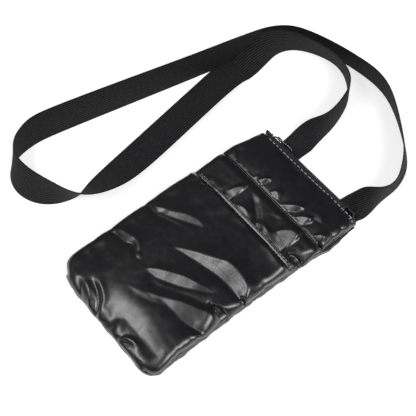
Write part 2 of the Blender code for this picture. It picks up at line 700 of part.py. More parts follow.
def make_stitching():
    shell = above(front_shell_low, SHELL_THICKNESS)
    cross_stitch_row("quilt_stitch", shell, QUILT_SEAM)
    cross_stitch_row("zip_topstitch", shell, SHELL_TOP - TOPSTITCH_INSET)
    cross_stitch_row("hem_stitch_upper", hem_top, POCKET_MOUTH - HEM_STITCH_INSET)
    cross_stitch_row("hem_stitch_lower", hem_top, POCKET_MOUTH - HEM_WIDTH + HEM_STITCH_INSET)
    height = BINDING_HIGH + PIECE_GAP + THREAD_RADIUS
    line = edge_line(BINDING_WIDTH / 2)
    places = []
    for first, last in zip(line, line[1:]):
        length = math.dist(first, last)
        steps = max(round(length / STITCH_PITCH), 1)
        for index in range(steps):
            share = index / steps
            places.append((mix(first[0], last[0], share), mix(first[1], last[1], share), height))
    places.append((*line[-1], height))
    radii = [1.0 if index % 2 else STITCH_WAIST_SHARE for index in range(len(places))]
    tube("binding_stitch", "thread", places, THREAD_RADIUS, radii)


def strap_state(point):
    """Middle and roll in radians of one place of the route."""
    x, y, roll, share = point
    angle = math.radians(roll)
    lift = STRAP_SEAM_LIFT if y < TAPE_FACE and x > STRAP_SEWN_FROM else 0.0
    return Vector((x, y, strap_stand(angle, share) + lift)), angle, share


def strap_stand(angle, share):
    """Height of the strap's middle line where its lower edge rests on the table."""
    upright = (STRAP_WIDTH - STRAP_THICKNESS) / 2 * abs(math.sin(angle))
    return STRAP_FLOOR_GAP + share * (STRAP_THICKNESS / 2 + upright)


def spline_between(before, first, last, after, share):
    """Catmull-Rom value between the second and the third of four."""
    a = 2.0 * first
    b = last - before
    c = 2.0 * before - 5.0 * first + 4.0 * last - after
    d = 3.0 * first - before - 3.0 * last + after
    return (a + b * share + c * share ** 2 + d * share ** 3) * 0.5


def strap_samples(pitch):
    """Middle line, roll and width share of the strap, about one pitch apart."""
    states = [strap_state(point) for point in STRAP_ROUTE]
    samples = []
    for index in range(len(states) - 1):
        around = [states[min(max(index + step, 0), len(states) - 1)] for step in (-1, 0, 1, 2)]
        span = (around[2][0] - around[1][0]).length
        count = max(round(span / pitch), 1)
        for step in range(count):
            share = step / count
            place, roll, width = (spline_between(*[state[part] for state in around], share)
                                  for part in range(3))
            place.z = max(place.z, strap_stand(roll, width))
            samples.append((place, roll, width))
    samples.append(states[-1])
    return samples


def make_strap():
    """Flat webbing: a curve whose tilt follows the roll, with rounded edges."""
    samples = strap_samples(STRAP_POINT_PITCH)
    curve = bpy.data.curves.new("strap_webbing", "CURVE")
    curve.dimensions = "3D"
    curve.twist_mode = "Z_UP"
    curve.extrude = (STRAP_WIDTH - STRAP_THICKNESS) / 2
    curve.bevel_depth = STRAP_THICKNESS / 2
    curve.bevel_resolution = 0
    curve.use_fill_caps = True
    spline = curve.splines.new("POLY")
    spline.points.add(len(samples) - 1)
    for point, (place, roll, width) in zip(spline.points, samples):
        point.co = (*place, 1.0)
        point.tilt = math.pi / 2 + roll
        point.radius = width
    add_object("strap_webbing", curve, "webbing")


def make_strap_stitches():
    """Rows of stitching across each sewn strap end, as one thread turning at the edges."""
    height = STRAP_FLOOR_GAP + STRAP_SEAM_LIFT + STRAP_THICKNESS + PIECE_GAP + THREAD_RADIUS
    for name, end in (("strap_stitch_right", STRAP_ROUTE[0]), ("strap_stitch_left", STRAP_ROUTE[-1])):
        half = STRAP_WIDTH / 2 * end[3] - STRAP_STITCH_MARGIN
        places = []
        for row in range(STRAP_STITCH_ROWS):
            y = TAPE_FACE + STRAP_STITCH_START + row * STRAP_STITCH_STEP
            ends = [end[0] - half, end[0] + half]
            if row % 2:
                ends.reverse()
            places += [(ends[0], y, height), (mix(ends[0], ends[1], 0.5), y, height),
                       (ends[1], y, height)]
        tube(name, "thread", places, THREAD_RADIUS)


def main():
    clear_scene()
    make_collection(PARTS)
    make_back()
    make_front()
    make_pocket()
    make_binding()
    make_tapes()
    make_coils()
    make_stops()
    make_end_tabs()
    pivot_y = make_slider()
    make_puller(pivot_y)
    make_stitching()
    make_strap()
    make_strap_stitches()


main()
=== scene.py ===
"""A padded crossbody pouch of glossy black nylon, lying on its back on a white table.

Lengths are in millimetres until a mesh is made. +X runs across the pouch, +Y from its bottom
edge to its zip, and the front faces up.
"""
import math

import bmesh
import bpy
import numpy as np
from mathutils import Matrix, Vector


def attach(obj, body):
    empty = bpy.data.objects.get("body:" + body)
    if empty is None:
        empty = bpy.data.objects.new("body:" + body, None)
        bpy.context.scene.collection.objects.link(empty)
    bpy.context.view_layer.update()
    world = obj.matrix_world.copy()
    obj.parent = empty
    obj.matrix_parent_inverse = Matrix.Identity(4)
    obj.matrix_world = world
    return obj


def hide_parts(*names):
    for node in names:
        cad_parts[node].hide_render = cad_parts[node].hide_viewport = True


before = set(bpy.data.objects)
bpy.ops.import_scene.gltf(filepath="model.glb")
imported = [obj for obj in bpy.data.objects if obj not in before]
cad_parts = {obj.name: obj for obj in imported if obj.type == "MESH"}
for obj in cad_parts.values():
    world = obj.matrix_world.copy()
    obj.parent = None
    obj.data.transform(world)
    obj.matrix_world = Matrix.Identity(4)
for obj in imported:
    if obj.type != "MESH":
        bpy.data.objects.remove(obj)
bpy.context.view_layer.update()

# Camera: it looks down on the pouch from its lower right side, with a long lens.
CAMERA_AZIMUTH = math.radians(50.2)
CAMERA_ELEVATION = math.radians(60.0)
CAMERA_DISTANCE = 0.75
CAMERA_TARGET = Vector((-0.0287, 0.01975, 0.0))
CAMERA_LENS = 82.2           # on a sensor 36 mm wide

camera_back = Vector((math.sin(CAMERA_AZIMUTH) * math.cos(CAMERA_ELEVATION),
                      -math.cos(CAMERA_AZIMUTH) * math.cos(CAMERA_ELEVATION),
                      math.sin(CAMERA_ELEVATION)))
camera_data = bpy.data.cameras.new("camera")
camera_data.sensor_fit = "HORIZONTAL"
camera_data.sensor_width = 36.0
camera_data.lens = CAMERA_LENS
camera = bpy.data.objects.new("camera", camera_data)
camera.location = CAMERA_TARGET + camera_back * CAMERA_DISTANCE
camera.rotation_euler = camera_back.to_track_quat("Z", "Y").to_euler()
bpy.context.scene.collection.objects.link(camera)
bpy.context.scene.camera = camera

# Strap: one length of flat black polyester webbing, woven with lengthwise ribs. It is sewn
# into the mouth's back seam at both ends, stands on its edge round the outer bend and lies
# nearly flat on its way back.
STRAP_WIDTH = 30.0
STRAP_THICKNESS = 1.2
STRAP_FLOOR_GAP = 0.1
STRAP_SEAM_LIFT = 0.8        # the sewn ends lie this much above the table
STRAP_SEWN_FROM = -60.0      # and they are the places right of this, below the zip
STRAP_RIBS = 14
STRAP_GROOVE = 0.25          # depth of the grooves between ribs, as a share of the thickness
STRAP_STEP = 2.2             # between two stations of the mesh
STRAP_SMOOTH = 6.0           # the bends are evened out over this length
STRAP_KEPT_END = 12.0        # but not this close to the sewn ends
TAPE_FACE = 99.3             # outer face of the zip tapes, where the strap comes out
# Middle line, roll of the face about its own length in degrees, and share of the width
STRAP_ROUTE = np.array((
    (44.3, 92.5, 0, 0.78), (44.3, 104.5, 1, 0.78), (46.4, 108.0, 27, 0.82),
    (50.3, 111.5, 52, 0.88), (53.5, 116.0, 77, 0.95), (55.5, 122.0, 93, 1.0),
    (56.5, 135.0, 99, 1.0), (52.0, 150.0, 84, 1.0), (37.0, 170.5, 75, 1.0),
    (-12.0, 200.5, 78, 1.0), (-54.0, 201.0, 75, 1.0), (-101.0, 187.0, 75, 1.0),
    (-118.5, 167.0, 82, 1.0), (-126.0, 138.0, 89, 1.0), (-136.0, 93.0, 93, 1.0),
    (-165.5, -30.0, 100, 1.0), (-167.0, -55.0, 95, 1.0), (-161.0, -72.0, 83, 1.0),
    (-148.0, -81.0, 68, 1.0), (-131.0, -80.5, 62, 1.0), (-115.5, -74.0, 74, 1.0),
    (-104.0, -64.5, 97, 1.0), (-95.0, -52.0, 125, 1.0), (-95.5, -35.0, 149, 1.0),
    (-100.0, 2.0, 168, 1.0), (-117.0, 112.0, 172, 1.0), (-118.5, 138.0, 198, 1.0),
    (-114.0, 152.5, 240, 1.0), (-109.5, 167.0, 270, 1.0), (-96.0, 181.2, 285, 1.0),
    (-64.0, 191.0, 290, 1.0), (-34.5, 178.0, 272, 1.0), (-22.5, 150.0, 273, 0.96),
    (-21.8, 136.0, 279, 0.88), (-22.6, 130.0, 289, 0.83), (-25.0, 126.2, 310, 0.78),
    (-26.8, 122.8, 334, 0.74), (-27.0, 119.5, 354, 0.73), (-26.8, 105.0, 360, 0.72),
    (-26.5, 92.5, 360, 0.73),
))
MM = 0.001


def strap_stand(roll, share):
    """Middle line's height where the lower edge rests on the table, for a roll in radians."""
    upright = (STRAP_WIDTH - STRAP_THICKNESS) / 2 * np.abs(np.sin(roll))
    return STRAP_FLOOR_GAP + share * (STRAP_THICKNESS / 2 + upright)


def catmull_rom(values, count):
    """A smooth curve through the rows of values, count steps from one row to the next."""
    ends = np.vstack((values[:1], values, values[-1:]))
    p0, p1, p2, p3 = (ends[k:k + len(values) - 1, None, :] for k in range(4))
    t = (np.arange(count) / count)[None, :, None]
    curve = 0.5 * (2 * p1 + (p2 - p0) * t + (2 * p0 - 5 * p1 + 4 * p2 - p3) * t ** 2
                   + (3 * p1 - p0 - 3 * p2 + p3) * t ** 3)
    return np.vstack((curve.reshape(-1, values.shape[1]), values[-1:]))


def lengths_along(points):
    """Distance from the start to each point of a line."""
    return np.concatenate(([0.0], np.cumsum(np.linalg.norm(np.diff(points, axis=0), axis=1))))


def unit(vectors):
    """Each row of vectors at length 1."""
    return vectors / np.linalg.norm(vectors, axis=-1, keepdims=True)


def resample(values, along, places):
    """The columns of values at other places along a line."""
    return np.stack([np.interp(places, along, column) for column in values.T], axis=1)


def smooth_rows(values, spread):
    """Each column averaged with its neighbours, by a Gauss curve spread rows wide."""
    reach = int(3 * spread)
    weights = np.exp(-0.5 * (np.arange(-reach, reach + 1) / spread) ** 2)
    weights /= weights.sum()
    padded = np.pad(values, ((reach, reach), (0, 0)), mode="edge")
    return np.stack([np.convolve(column, weights, "valid") for column in padded.T], axis=1)


def strap_line():
    """Middle line, roll and width share at even steps, with the bends evened out."""
    fine = catmull_rom(STRAP_ROUTE, 24)
    along = lengths_along(fine[:, :2])
    count = int(round(along[-1] / STRAP_STEP))
    places = np.linspace(0.0, along[-1], count + 1)
    plain = resample(fine, along, places)
    even = smooth_rows(plain, STRAP_SMOOTH / STRAP_STEP)
    from_end = np.minimum(places, places[-1] - places)
    keep = np.clip((from_end - STRAP_KEPT_END) / STRAP_KEPT_END, 0.0, 1.0)[:, None]
    state = plain + (even - plain) * keep
    roll = np.radians(state[:, 2])
    share = np.clip(state[:, 3], 0.5, 1.0)
    height = strap_stand(roll, share)
    sewn = (state[:, 1] < TAPE_FACE) & (state[:, 0] > STRAP_SEWN_FROM)
    lift = smooth_rows(sewn.astype(float)[:, None], 2.0)[:, 0] * STRAP_SEAM_LIFT
    middle = np.column_stack((state[:, 0], state[:, 1], height + lift))
    return middle, roll, share


def grid_quads(rows, columns, closed=False):
    """Corner numbers of a grid's faces, facing +Z where rows run along +Y; closed joins
    the last column to the first."""
    row, column = np.meshgrid(np.arange(rows - 1), np.arange(columns - (not closed)),
                              indexing="ij")
    row, column = row.ravel(), column.ravel()
    after = (column + 1) % columns
    return np.column_stack((row * columns + column, row * columns + after,
                            (row + 1) * columns + after, (row + 1) * columns + column))


def make_mesh(points, quads, caps=()):
    """A mesh from points in millimetres, four-cornered faces and end caps of any size."""
    mesh = bpy.data.meshes.new("mesh")
    faces = np.asarray(quads).tolist() + [list(map(int, cap)) for cap in caps]
    mesh.from_pydata((np.asarray(points).reshape(-1, 3) * MM).tolist(), [], faces)
    mesh.shade_smooth()
    mesh.update()
    return mesh


def tube_mesh(points, flip=False):
    """A section carried along a path, one row of points at each step, with both ends closed.
    It is flipped where the section runs the other way round."""
    rows, columns = points.shape[:2]
    quads = grid_quads(rows, columns, closed=True)
    caps = [range(columns)[::-1], range((rows - 1) * columns, rows * columns)]
    if flip:
        quads, caps = quads[:, ::-1], [cap[::-1] for cap in caps]
    return make_mesh(points, quads, caps)


def add_piece(name, mesh, material, body, replaced):
    """Puts a mesh in the scene as a piece that rides on a body and stands for CAD nodes."""
    mesh.name = name
    mesh.materials.append(material)
    piece = bpy.data.objects.new(name, mesh)
    bpy.context.scene.collection.objects.link(piece)
    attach(piece, body)
    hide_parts(*replaced)
    return piece


def write_weave_uv(mesh, along, around):
    """Gives a section that was carried along a path, with both ends closed, the map 'weave':
    the millimetres round the section and along the path, at each corner of each face."""
    rows, columns = len(along), len(around) - 1
    row, column = np.meshgrid(np.arange(rows - 1), np.arange(columns), indexing="ij")
    row, column = row.ravel(), column.ravel()
    corners = np.stack((np.column_stack((around[column], along[row])),
                        np.column_stack((around[column + 1], along[row])),
                        np.column_stack((around[column + 1], along[row + 1])),
                        np.column_stack((around[column], along[row + 1]))), axis=1)[:, ::-1]
    ends = np.concatenate([np.column_stack((around[:-1], np.full(columns, value)))
                           for value in (along[0], along[-1])])
    layer = mesh.uv_layers.new(name="weave")
    pairs = np.concatenate((corners.reshape(-1, 2), ends)).astype(np.float32)
    layer.data.foreach_set("uv", pairs.ravel())


def linear(code):
    """A colour written as six sRGB hex digits, as linear RGB with alpha 1."""
    parts = [int(code[k:k + 2], 16) / 255 for k in (0, 2, 4)]
    return (*[c / 12.92 if c <= 0.04045 else ((c + 0.055) / 1.055) ** 2.4 for c in parts], 1.0)


def add_node(tree, kind, inputs=None, **settings):
    """Adds a node with its settings; inputs are values, or sockets or nodes to link from."""
    made = tree.nodes.new("ShaderNode" + kind)
    for name, value in settings.items():
        setattr(made, name, value)
    for key, value in (inputs or {}).items():
        if isinstance(value, bpy.types.Node):
            value = value.outputs[0]
        if isinstance(value, bpy.types.NodeSocket):
            tree.links.new(value, made.inputs[key])
        else:
            made.inputs[key].default_value = value
    return made


def new_material(name, values):
    """A Principled material with plain values on its shader's sockets: it, its tree and its
    shader."""
    material = bpy.data.materials.new(name)
    material.use_nodes = True
    tree = material.node_tree
    shader = tree.nodes["Principled BSDF"]
    for socket, value in values.items():
        shader.inputs[socket].default_value = value
    return material, tree, shader


def finish(shader, shade, dark, light, bump=None, rough=None):
    """Gives a shader its colour, from dark to light by the shade, its bump and roughness."""
    tree = shader.id_data
    colour = add_node(tree, "Mix", {0: shade, 6: linear(dark), 7: linear(light)},
                      data_type="RGBA")
    tree.links.new(colour.outputs[2], shader.inputs["Base Color"])
    for socket, node in (("Normal", bump), ("Roughness", rough)):
        if node is not None:
            tree.links.new(node.outputs[0], shader.inputs[socket])


# Polyester webbing, woven and dyed black: matte, with rounded ribs, and across each rib the short
# floats of the weft, set off by half from rib to rib. Its colour holds painted light: a painted
# highlight lightens each rib's crest, and painted shade darkens the grooves where the ribs meet.
def webbing_material():
    material, tree, shader = new_material("woven_polyester_webbing", {
        "Roughness": 0.8, "Specular IOR Level": 0.2, "Sheen Weight": 0.03,
        "Sheen Roughness": 0.5})
    rib_pitch, weft_pitch = STRAP_WIDTH / STRAP_RIBS, 1.5
    uv = add_node(tree, "UVMap", uv_map="weave").outputs["UV"]
    split = add_node(tree, "SeparateXYZ", {0: uv})
    rib = add_node(tree, "Math", {0: split.outputs["X"], 1: 1 / rib_pitch}, operation="MULTIPLY")
    rib_turn = add_node(tree, "Math", {0: rib, 1: math.pi}, operation="MULTIPLY")
    rib_wave = add_node(tree, "Math", {0: rib_turn}, operation="SINE")
    crown = add_node(tree, "Math", {0: rib_wave}, operation="ABSOLUTE")
    crest_highlight_groove_shade = add_node(tree, "Math", {0: crown, 1: 5.0}, operation="POWER")
    rib_number = add_node(tree, "Math", {0: rib}, operation="FLOOR")
    half_step = add_node(tree, "Math", {0: rib_number, 1: 0.5}, operation="MULTIPLY")
    step = add_node(tree, "Math", {0: split.outputs["Y"], 1: 1 / weft_pitch, 2: half_step},
                    operation="MULTIPLY_ADD")
    weft_turn = add_node(tree, "Math", {0: step, 1: 2 * math.pi}, operation="MULTIPLY")
    weft = add_node(tree, "Math", {0: weft_turn}, operation="SINE")
    lint = add_node(tree, "TexNoise", {"Vector": uv, "Scale": 0.35, "Detail": 4.0})
    fibre = add_node(tree, "TexNoise", {"Vector": uv, "Scale": 3.0, "Detail": 3.0})
    height = add_node(tree, "Math", {0: weft, 1: 0.5, 2: fibre}, operation="MULTIPLY_ADD")
    bump = add_node(tree, "Bump", {"Height": height, "Strength": 0.8, "Distance": 0.00022})
    worn = add_node(tree, "Math", {0: weft, 1: 0.12, 2: lint}, operation="MULTIPLY_ADD")
    # Painted highlight and shade: the colour is lighter on each rib's crest and darker in the
    # grooves between ribs.
    shade = add_node(tree, "Math", {0: worn, 1: crest_highlight_groove_shade}, operation="MULTIPLY")
    finish(shader, shade, "040405", "4a4a4d", bump)
    return material


def strap_mesh(middle, roll, share):
    """The webbing: a ribbed flat section carried along the middle line.

    Across the width the section is a row of half round ribs on both faces, and a half
    circle at each edge; it turns with the roll and narrows with the width share.
    """
    heading = unit(np.gradient(middle, axis=0))
    level = unit(np.column_stack((-heading[:, 1], heading[:, 0], np.zeros(len(heading)))))
    wide = np.cos(roll)[:, None] * level + np.sin(roll)[:, None] * (0.0, 0.0, 1.0)
    face = unit(np.cross(heading, wide))
    steps = np.linspace(-1.0, 1.0, 4 * STRAP_RIBS + 1)
    arches = np.abs(np.sin(np.pi * STRAP_RIBS * (steps + 1) / 2)) ** 0.7
    ribs = 1.0 - STRAP_GROOVE + STRAP_GROOVE * arches
    bend = np.linspace(np.pi / 2, -np.pi / 2, 5)[1:-1]
    flat = (STRAP_WIDTH - STRAP_THICKNESS) / 2
    across = np.concatenate((flat * steps, flat + STRAP_THICKNESS / 2 * np.cos(bend),
                             flat * steps[::-1], -flat - STRAP_THICKNESS / 2 * np.cos(bend)))
    edge = np.sin(bend) * (1.0 - STRAP_GROOVE)
    depth = STRAP_THICKNESS / 2 * np.concatenate((ribs, edge, -ribs, -edge))
    points = (middle[:, None, :] + across[None, :, None] * share[:, None, None] * wide[:, None, :]
              + depth[None, :, None] * face[:, None, :])
    mesh = tube_mesh(points, flip=True)
    write_weave_uv(mesh, lengths_along(middle),
                   np.arange(len(across) + 1) * STRAP_WIDTH / STRAP_RIBS / 4)
    return mesh


strap_middle, strap_roll, strap_share = strap_line()
strap = add_piece("strap", strap_mesh(strap_middle, strap_roll, strap_share),
                  webbing_material(), "pouch", ["strap_webbing"])

# Outline of the pouch: all the panels share it. It is rounded at the bottom corners, a
# little wider at the upper right, where the stuffed side sags, and drawn in at the left.
BAG_HALF = 56.0
BOTTOM_EDGE = -104.7
CORNER_RADIUS = 10.0
BINDING_WIDTH = 2.4
RIM_HALF = 53.3              # the panels end here, inside the edge binding
RIM_BOTTOM = -102.0
RIM_RADIUS = 7.3
RIM_SLOPE = 8.0
SHELL_TOP = 96.3
QUILT_SEAM = 58.3
POCKET_MOUTH = 32.3
POCKET_TOP = 28.0
WADDING_TOP = 89.3
WADDING_THINS = 6.0          # towards its top, over this length
PIECE_GAP = 0.3              # between one layer and the next
MOUTH_SLOPE = 24.0
PUFF_WIDTH = 7.6             # a padded edge is part of an ellipse, half this wide
PUFF_SEAM_ANGLE = -0.83      # radians below its middle, where the seam draws it in
RIGHT_SAG = 2.5              # the upper right side stands out by this
LEFT_TAPER = 5.5             # and the upper left one draws in by this
CORNER_CUT = 2.6             # the lower left corner is drawn in by this, both ways


def rise(share):
    """A quarter circle from 0 to 1."""
    return np.sqrt(1.0 - (1.0 - np.clip(share, 0.0, 1.0)) ** 2)


def ease(share):
    """A soft step from 0 to 1."""
    share = np.clip(share, 0.0, 1.0)
    return share * share * (3.0 - 2.0 * share)


def mix(first, second, share):
    """From first to second by a share from 0 to 1."""
    return first + (second - first) * share


def rim_half_width(y):
    """Half the panels' width at y: it narrows round the bottom corners."""
    drop = RIM_RADIUS - np.clip(y - RIM_BOTTOM, 0.0, RIM_RADIUS)
    return RIM_HALF - RIM_RADIUS + np.sqrt(RIM_RADIUS ** 2 - drop ** 2)


def shaped(x, y):
    """A place of the plain outline, moved out where the right side sags, and in at the
    upper left and the lower left, in step with how near it is to that side."""
    left = ease(-x / RIM_HALF)
    corner = CORNER_CUT * ease((-x - 34.0) / 20.0) * ease((-88.0 - y) / 15.0)
    moved = x + RIGHT_SAG * ease((y + 30.0) / 90.0) * ease(x / RIM_HALF)
    return moved + LEFT_TAPER * ease((y - 58.0) / 42.0) * left + corner, y + corner


def swell(x, y):
    """0 at the sewn rim, 1 where a lining lies at its full height."""
    side = rise((rim_half_width(y) - np.abs(x)) / RIM_SLOPE)
    return side * rise((y - RIM_BOTTOM) / RIM_SLOPE)


def mouth_share(y):
    """0 over the body of the pouch, 1 at its mouth."""
    return ease((y - WADDING_TOP + MOUTH_SLOPE) / MOUTH_SLOPE)


def even_places(first, last, pitch):
    """Places at about the pitch, with both ends."""
    return np.linspace(first, last, int(round((last - first) / pitch)) + 1)


def lining_grid(top, pitch):
    """Places over a lining, close together on the slopes at its edges."""
    slope = RIM_SLOPE * (1.0 - np.cos(np.linspace(0.0, np.pi / 2, 7)))
    flat = RIM_HALF - RIM_SLOPE
    columns = np.concatenate((-RIM_HALF + slope, even_places(-flat, flat, pitch)[1:-1],
                              (RIM_HALF - slope)[::-1]))
    rows = RIM_BOTTOM + slope
    rows = np.concatenate((rows, even_places(rows[-1], top, pitch)[1:]))
    y = np.repeat(rows[:, None], len(columns), axis=1)
    x = columns[None, :] * rim_half_width(y) / RIM_HALF
    return x, y, swell(x, y)


def denser(rows, bands):
    """Rows with the ones in each band (middle, half width, pitch) put closer together."""
    for middle, half, pitch in bands:
        rows = rows[np.abs(rows - middle) > half]
        rows = np.sort(np.append(rows, even_places(middle - half, middle + half, pitch)))
    return rows


def puffed_grid(low, high, pitch, bands=(), steps=16):
    """Places over a padded panel: puffed ones for the skin that shows, plain ones for the
    face behind it, and the shares of the full height at the sides and at the end.

    The edge is an upright ellipse, walked from the seam below its middle, over its widest
    place, to its top; the panel's flat part goes on from there at an even pitch.
    """
    turn = np.linspace(PUFF_SEAM_ANGLE, np.pi / 2, steps)
    reach = PUFF_WIDTH * (math.cos(PUFF_SEAM_ANGLE) - np.cos(turn))
    lift = (np.sin(turn) - math.sin(PUFF_SEAM_ANGLE)) / (1.0 - math.sin(PUFF_SEAM_ANGLE))
    plain = np.linspace(0.0, reach[-1], steps)
    flat = RIM_HALF - reach[-1]
    inner = even_places(-flat, flat, pitch)[1:-1]
    side = np.concatenate((lift, np.ones(len(inner)), lift[::-1]))
    sewn_below = low <= RIM_BOTTOM
    level = denser(even_places(low + reach[-1] * sewn_below, high, pitch), bands)
    end = np.concatenate((lift, np.ones(len(level) - 1))) if sewn_below else np.ones(len(level))
    places = []
    for edge in (reach, plain):
        columns = np.concatenate((-RIM_HALF + edge, inner, (RIM_HALF - edge)[::-1]))
        rows = np.concatenate((low + edge, level[1:])) if sewn_below else level
        y = np.repeat(rows[:, None], len(columns), axis=1)
        places.append((columns[None, :] * rim_half_width(y) / RIM_HALF, y))
    x, y = places[0]
    return places[0], places[1], np.ones(x.shape) * side[None, :], np.ones(x.shape) * end[:, None]


def bulge_share(share):
    """1 at the widest place of a padded edge, 0 at its seam and at its top."""
    widest = -math.sin(PUFF_SEAM_ANGLE) / (1.0 - math.sin(PUFF_SEAM_ANGLE))
    away = np.where(share < widest, (widest - share) / widest, (share - widest) / (1 - widest))
    return 1.0 - away ** 2


def closed_pad(upper, lower):
    """A closed body between two grids of points that have the same rows and columns."""
    rows, columns = upper.shape[:2]
    top = grid_quads(rows, columns)
    count = rows * columns
    index = np.arange(count).reshape(rows, columns)
    loop = np.concatenate((index[0, :-1], index[:-1, -1], index[-1, :0:-1], index[:0:-1, 0]))
    after = np.roll(loop, -1)
    wall = np.column_stack((loop + count, after + count, after, loop))
    quads = np.concatenate((top, top[:, ::-1] + count, wall))
    return make_mesh(np.concatenate((upper.reshape(-1, 3), lower.reshape(-1, 3))), quads)


def surface(x, y, z):
    """Points of a grid, moved with the pouch's sagging outline."""
    return np.stack((*shaped(x, y), z), axis=2)


CLOTH_STEPS = 20             # frames that the cloth of a pad is left to settle
CLOTH_SLACK = 0.07           # it is cut this much larger than the room it has
CLOTH_SCALE = 0.01           # the solver works on the pad at ten times its size
CLOTH_EVEN = 1.3             # its moves are evened out over this many places
LOOSE_WIDTH = 5.0            # the strip beside a seam where the cloth is loose
LOOSE_HOLD = 0.04
HELD_FROM = 9.0              # this far from a seam the wadding holds it in full


def thinned(count):
    """Every second number, and the last one."""
    return np.unique(np.append(np.arange(0, count, 2), count - 1))


def from_seams(points, low, high):
    """How far each place of a pad is from its nearest seam."""
    x, y = points[:, :, 0], points[:, :, 1]
    return np.minimum(np.minimum(RIM_HALF - np.abs(x), y - low), high - y)


def held_weights(edge, inner):
    """How firmly each place is held: sewn down at the rim, loose beside it, and held by the
    wadding further in."""
    near = np.where(edge > LOOSE_WIDTH, inner / 2, LOOSE_HOLD)
    held = np.where(edge > HELD_FROM, inner, near)
    held[0], held[-1], held[:, 0], held[:, -1] = 1.0, 1.0, 1.0, 1.0
    return held


def settled(points, held, loose, pressure, cap):
    """The skin of a pad after its cloth has settled. Cloth simulation moves every second
    place of the grid: a skin a little too large for its seams, with the wadding's pressure
    behind it, buckles into puckers. The moves are spread over the full grid and evened out;
    they count by the share that is loose, and none is longer than the cap."""
    rows, columns = points.shape[:2]
    row, column = thinned(rows), thinned(columns)
    coarse, held = points[np.ix_(row, column)], held[np.ix_(row, column)]
    mesh = bpy.data.meshes.new("cloth")
    mesh.from_pydata((coarse.reshape(-1, 3) * CLOTH_SCALE).tolist(), [],
                     grid_quads(len(row), len(column)).tolist())
    skin = bpy.data.objects.new("cloth", mesh)
    bpy.context.scene.collection.objects.link(skin)
    group = skin.vertex_groups.new(name="held")
    for weight in np.unique(held):
        group.add(np.flatnonzero(held.ravel() == weight).tolist(), float(weight), "REPLACE")
    cloth = skin.modifiers.new("cloth", "CLOTH")
    for name, value in {"quality": 6, "mass": 0.15, "tension_stiffness": 20.0,
                        "compression_stiffness": 20.0, "shear_stiffness": 8.0,
                        "bending_stiffness": 1.0, "bending_damping": 0.5, "air_damping": 2.0,
                        "vertex_group_mass": "held", "pin_stiffness": 1.0,
                        "shrink_min": -CLOTH_SLACK, "use_pressure": True,
                        "uniform_pressure_force": pressure}.items():
        setattr(cloth.settings, name, value)
    cloth.settings.effector_weights.gravity = 0.0
    cloth.collision_settings.use_collision = False
    cloth.point_cache.frame_start, cloth.point_cache.frame_end = 1, CLOTH_STEPS
    for step in range(1, CLOTH_STEPS + 1):
        bpy.context.scene.frame_set(step)
    result = skin.evaluated_get(bpy.context.evaluated_depsgraph_get()).data
    moved = np.empty(len(result.vertices) * 3)
    result.vertices.foreach_get("co", moved)
    moves = (moved.reshape(-1, 3) / CLOTH_SCALE - coarse.reshape(-1, 3)).reshape(coarse.shape)
    bpy.data.objects.remove(skin)
    bpy.context.scene.frame_set(1)
    full = np.empty(points.shape)
    for axis in range(3):
        wide = np.stack([np.interp(np.arange(columns), column, line)
                         for line in moves[:, :, axis]])
        tall = np.stack([np.interp(np.arange(rows), row, line) for line in wide.T], axis=1)
        full[:, :, axis] = smooth_rows(smooth_rows(tall, CLOTH_EVEN).T, CLOTH_EVEN).T
    length = np.linalg.norm(full, axis=2)[:, :, None] + 1e-9
    return points + full * loose[:, :, None] * cap * np.tanh(length / cap) / length


def distance_to(x, y, path):
    """Signed distance from each place to a line, left side positive, and the share of the
    way along it, taken at the nearest place of its segments."""
    path = np.asarray(path, dtype=float)
    along = lengths_along(path)
    best = np.full(x.shape, 1e9)
    signed = np.zeros(x.shape)
    share = np.zeros(x.shape)
    for start, end, before in zip(path[:-1], path[1:], along[:-1]):
        way = end - start
        length = np.hypot(*way)
        t = ((x - start[0]) * way[0] + (y - start[1]) * way[1]) / length ** 2
        t = np.clip(t, 0.0, 1.0)
        dx, dy = x - start[0] - t * way[0], y - start[1] - t * way[1]
        away = np.hypot(dx, dy)
        nearer = away < best
        side = np.sign(way[0] * dy - way[1] * dx)
        best = np.where(nearer, away, best)
        signed = np.where(nearer, away * side, signed)
        share = np.where(nearer, (before + t * length) / along[-1], share)
    return signed, share


def fold(x, y, path, height, left, right, crisp=0.35, fade=(0.15, 0.15)):
    """A fold along a line: its height falls off to widths left and right of the line, from
    a crest that is sharper for a small crisp, and runs out at both ends."""
    signed, share = distance_to(x, y, catmull_rom(np.asarray(path, dtype=float), 6))
    width = np.where(signed > 0, left, right)
    away = np.sqrt((signed / width) ** 2 + crisp ** 2) - crisp
    ends = ease((share + 0.02) / max(fade[0], 1e-6)) * ease((1.02 - share) / max(fade[1], 1e-6))
    return height * np.exp(-away ** 1.3 * 1.2) * ends


def facet(x, y, upper, lower, slope, sink=0.35, above=5.0, below=4.0):
    """A flat flank between two lines that are given from left to right: it drops at the
    slope from a sharp crest on the upper line to a valley on the lower one. The crest runs
    out over the length above, and the valley over the length below. A pair of slopes is
    for the flank's left and right ends."""
    slope = np.interp(x, (upper[0][0], upper[-1][0]), np.broadcast_to(slope, 2))
    top = np.interp(x, *catmull_rom(np.asarray(upper, dtype=float), 6).T)
    low = np.interp(x, *catmull_rom(np.asarray(lower, dtype=float), 6).T)
    full = np.maximum(top - low, 0.0)
    flank = np.clip(y - low, 0.0, full) - sink * full
    away = np.where(y > top, (y - top) / above, np.maximum(low - y, 0.0) / below)
    return slope * flank * np.exp(-away ** 1.6)


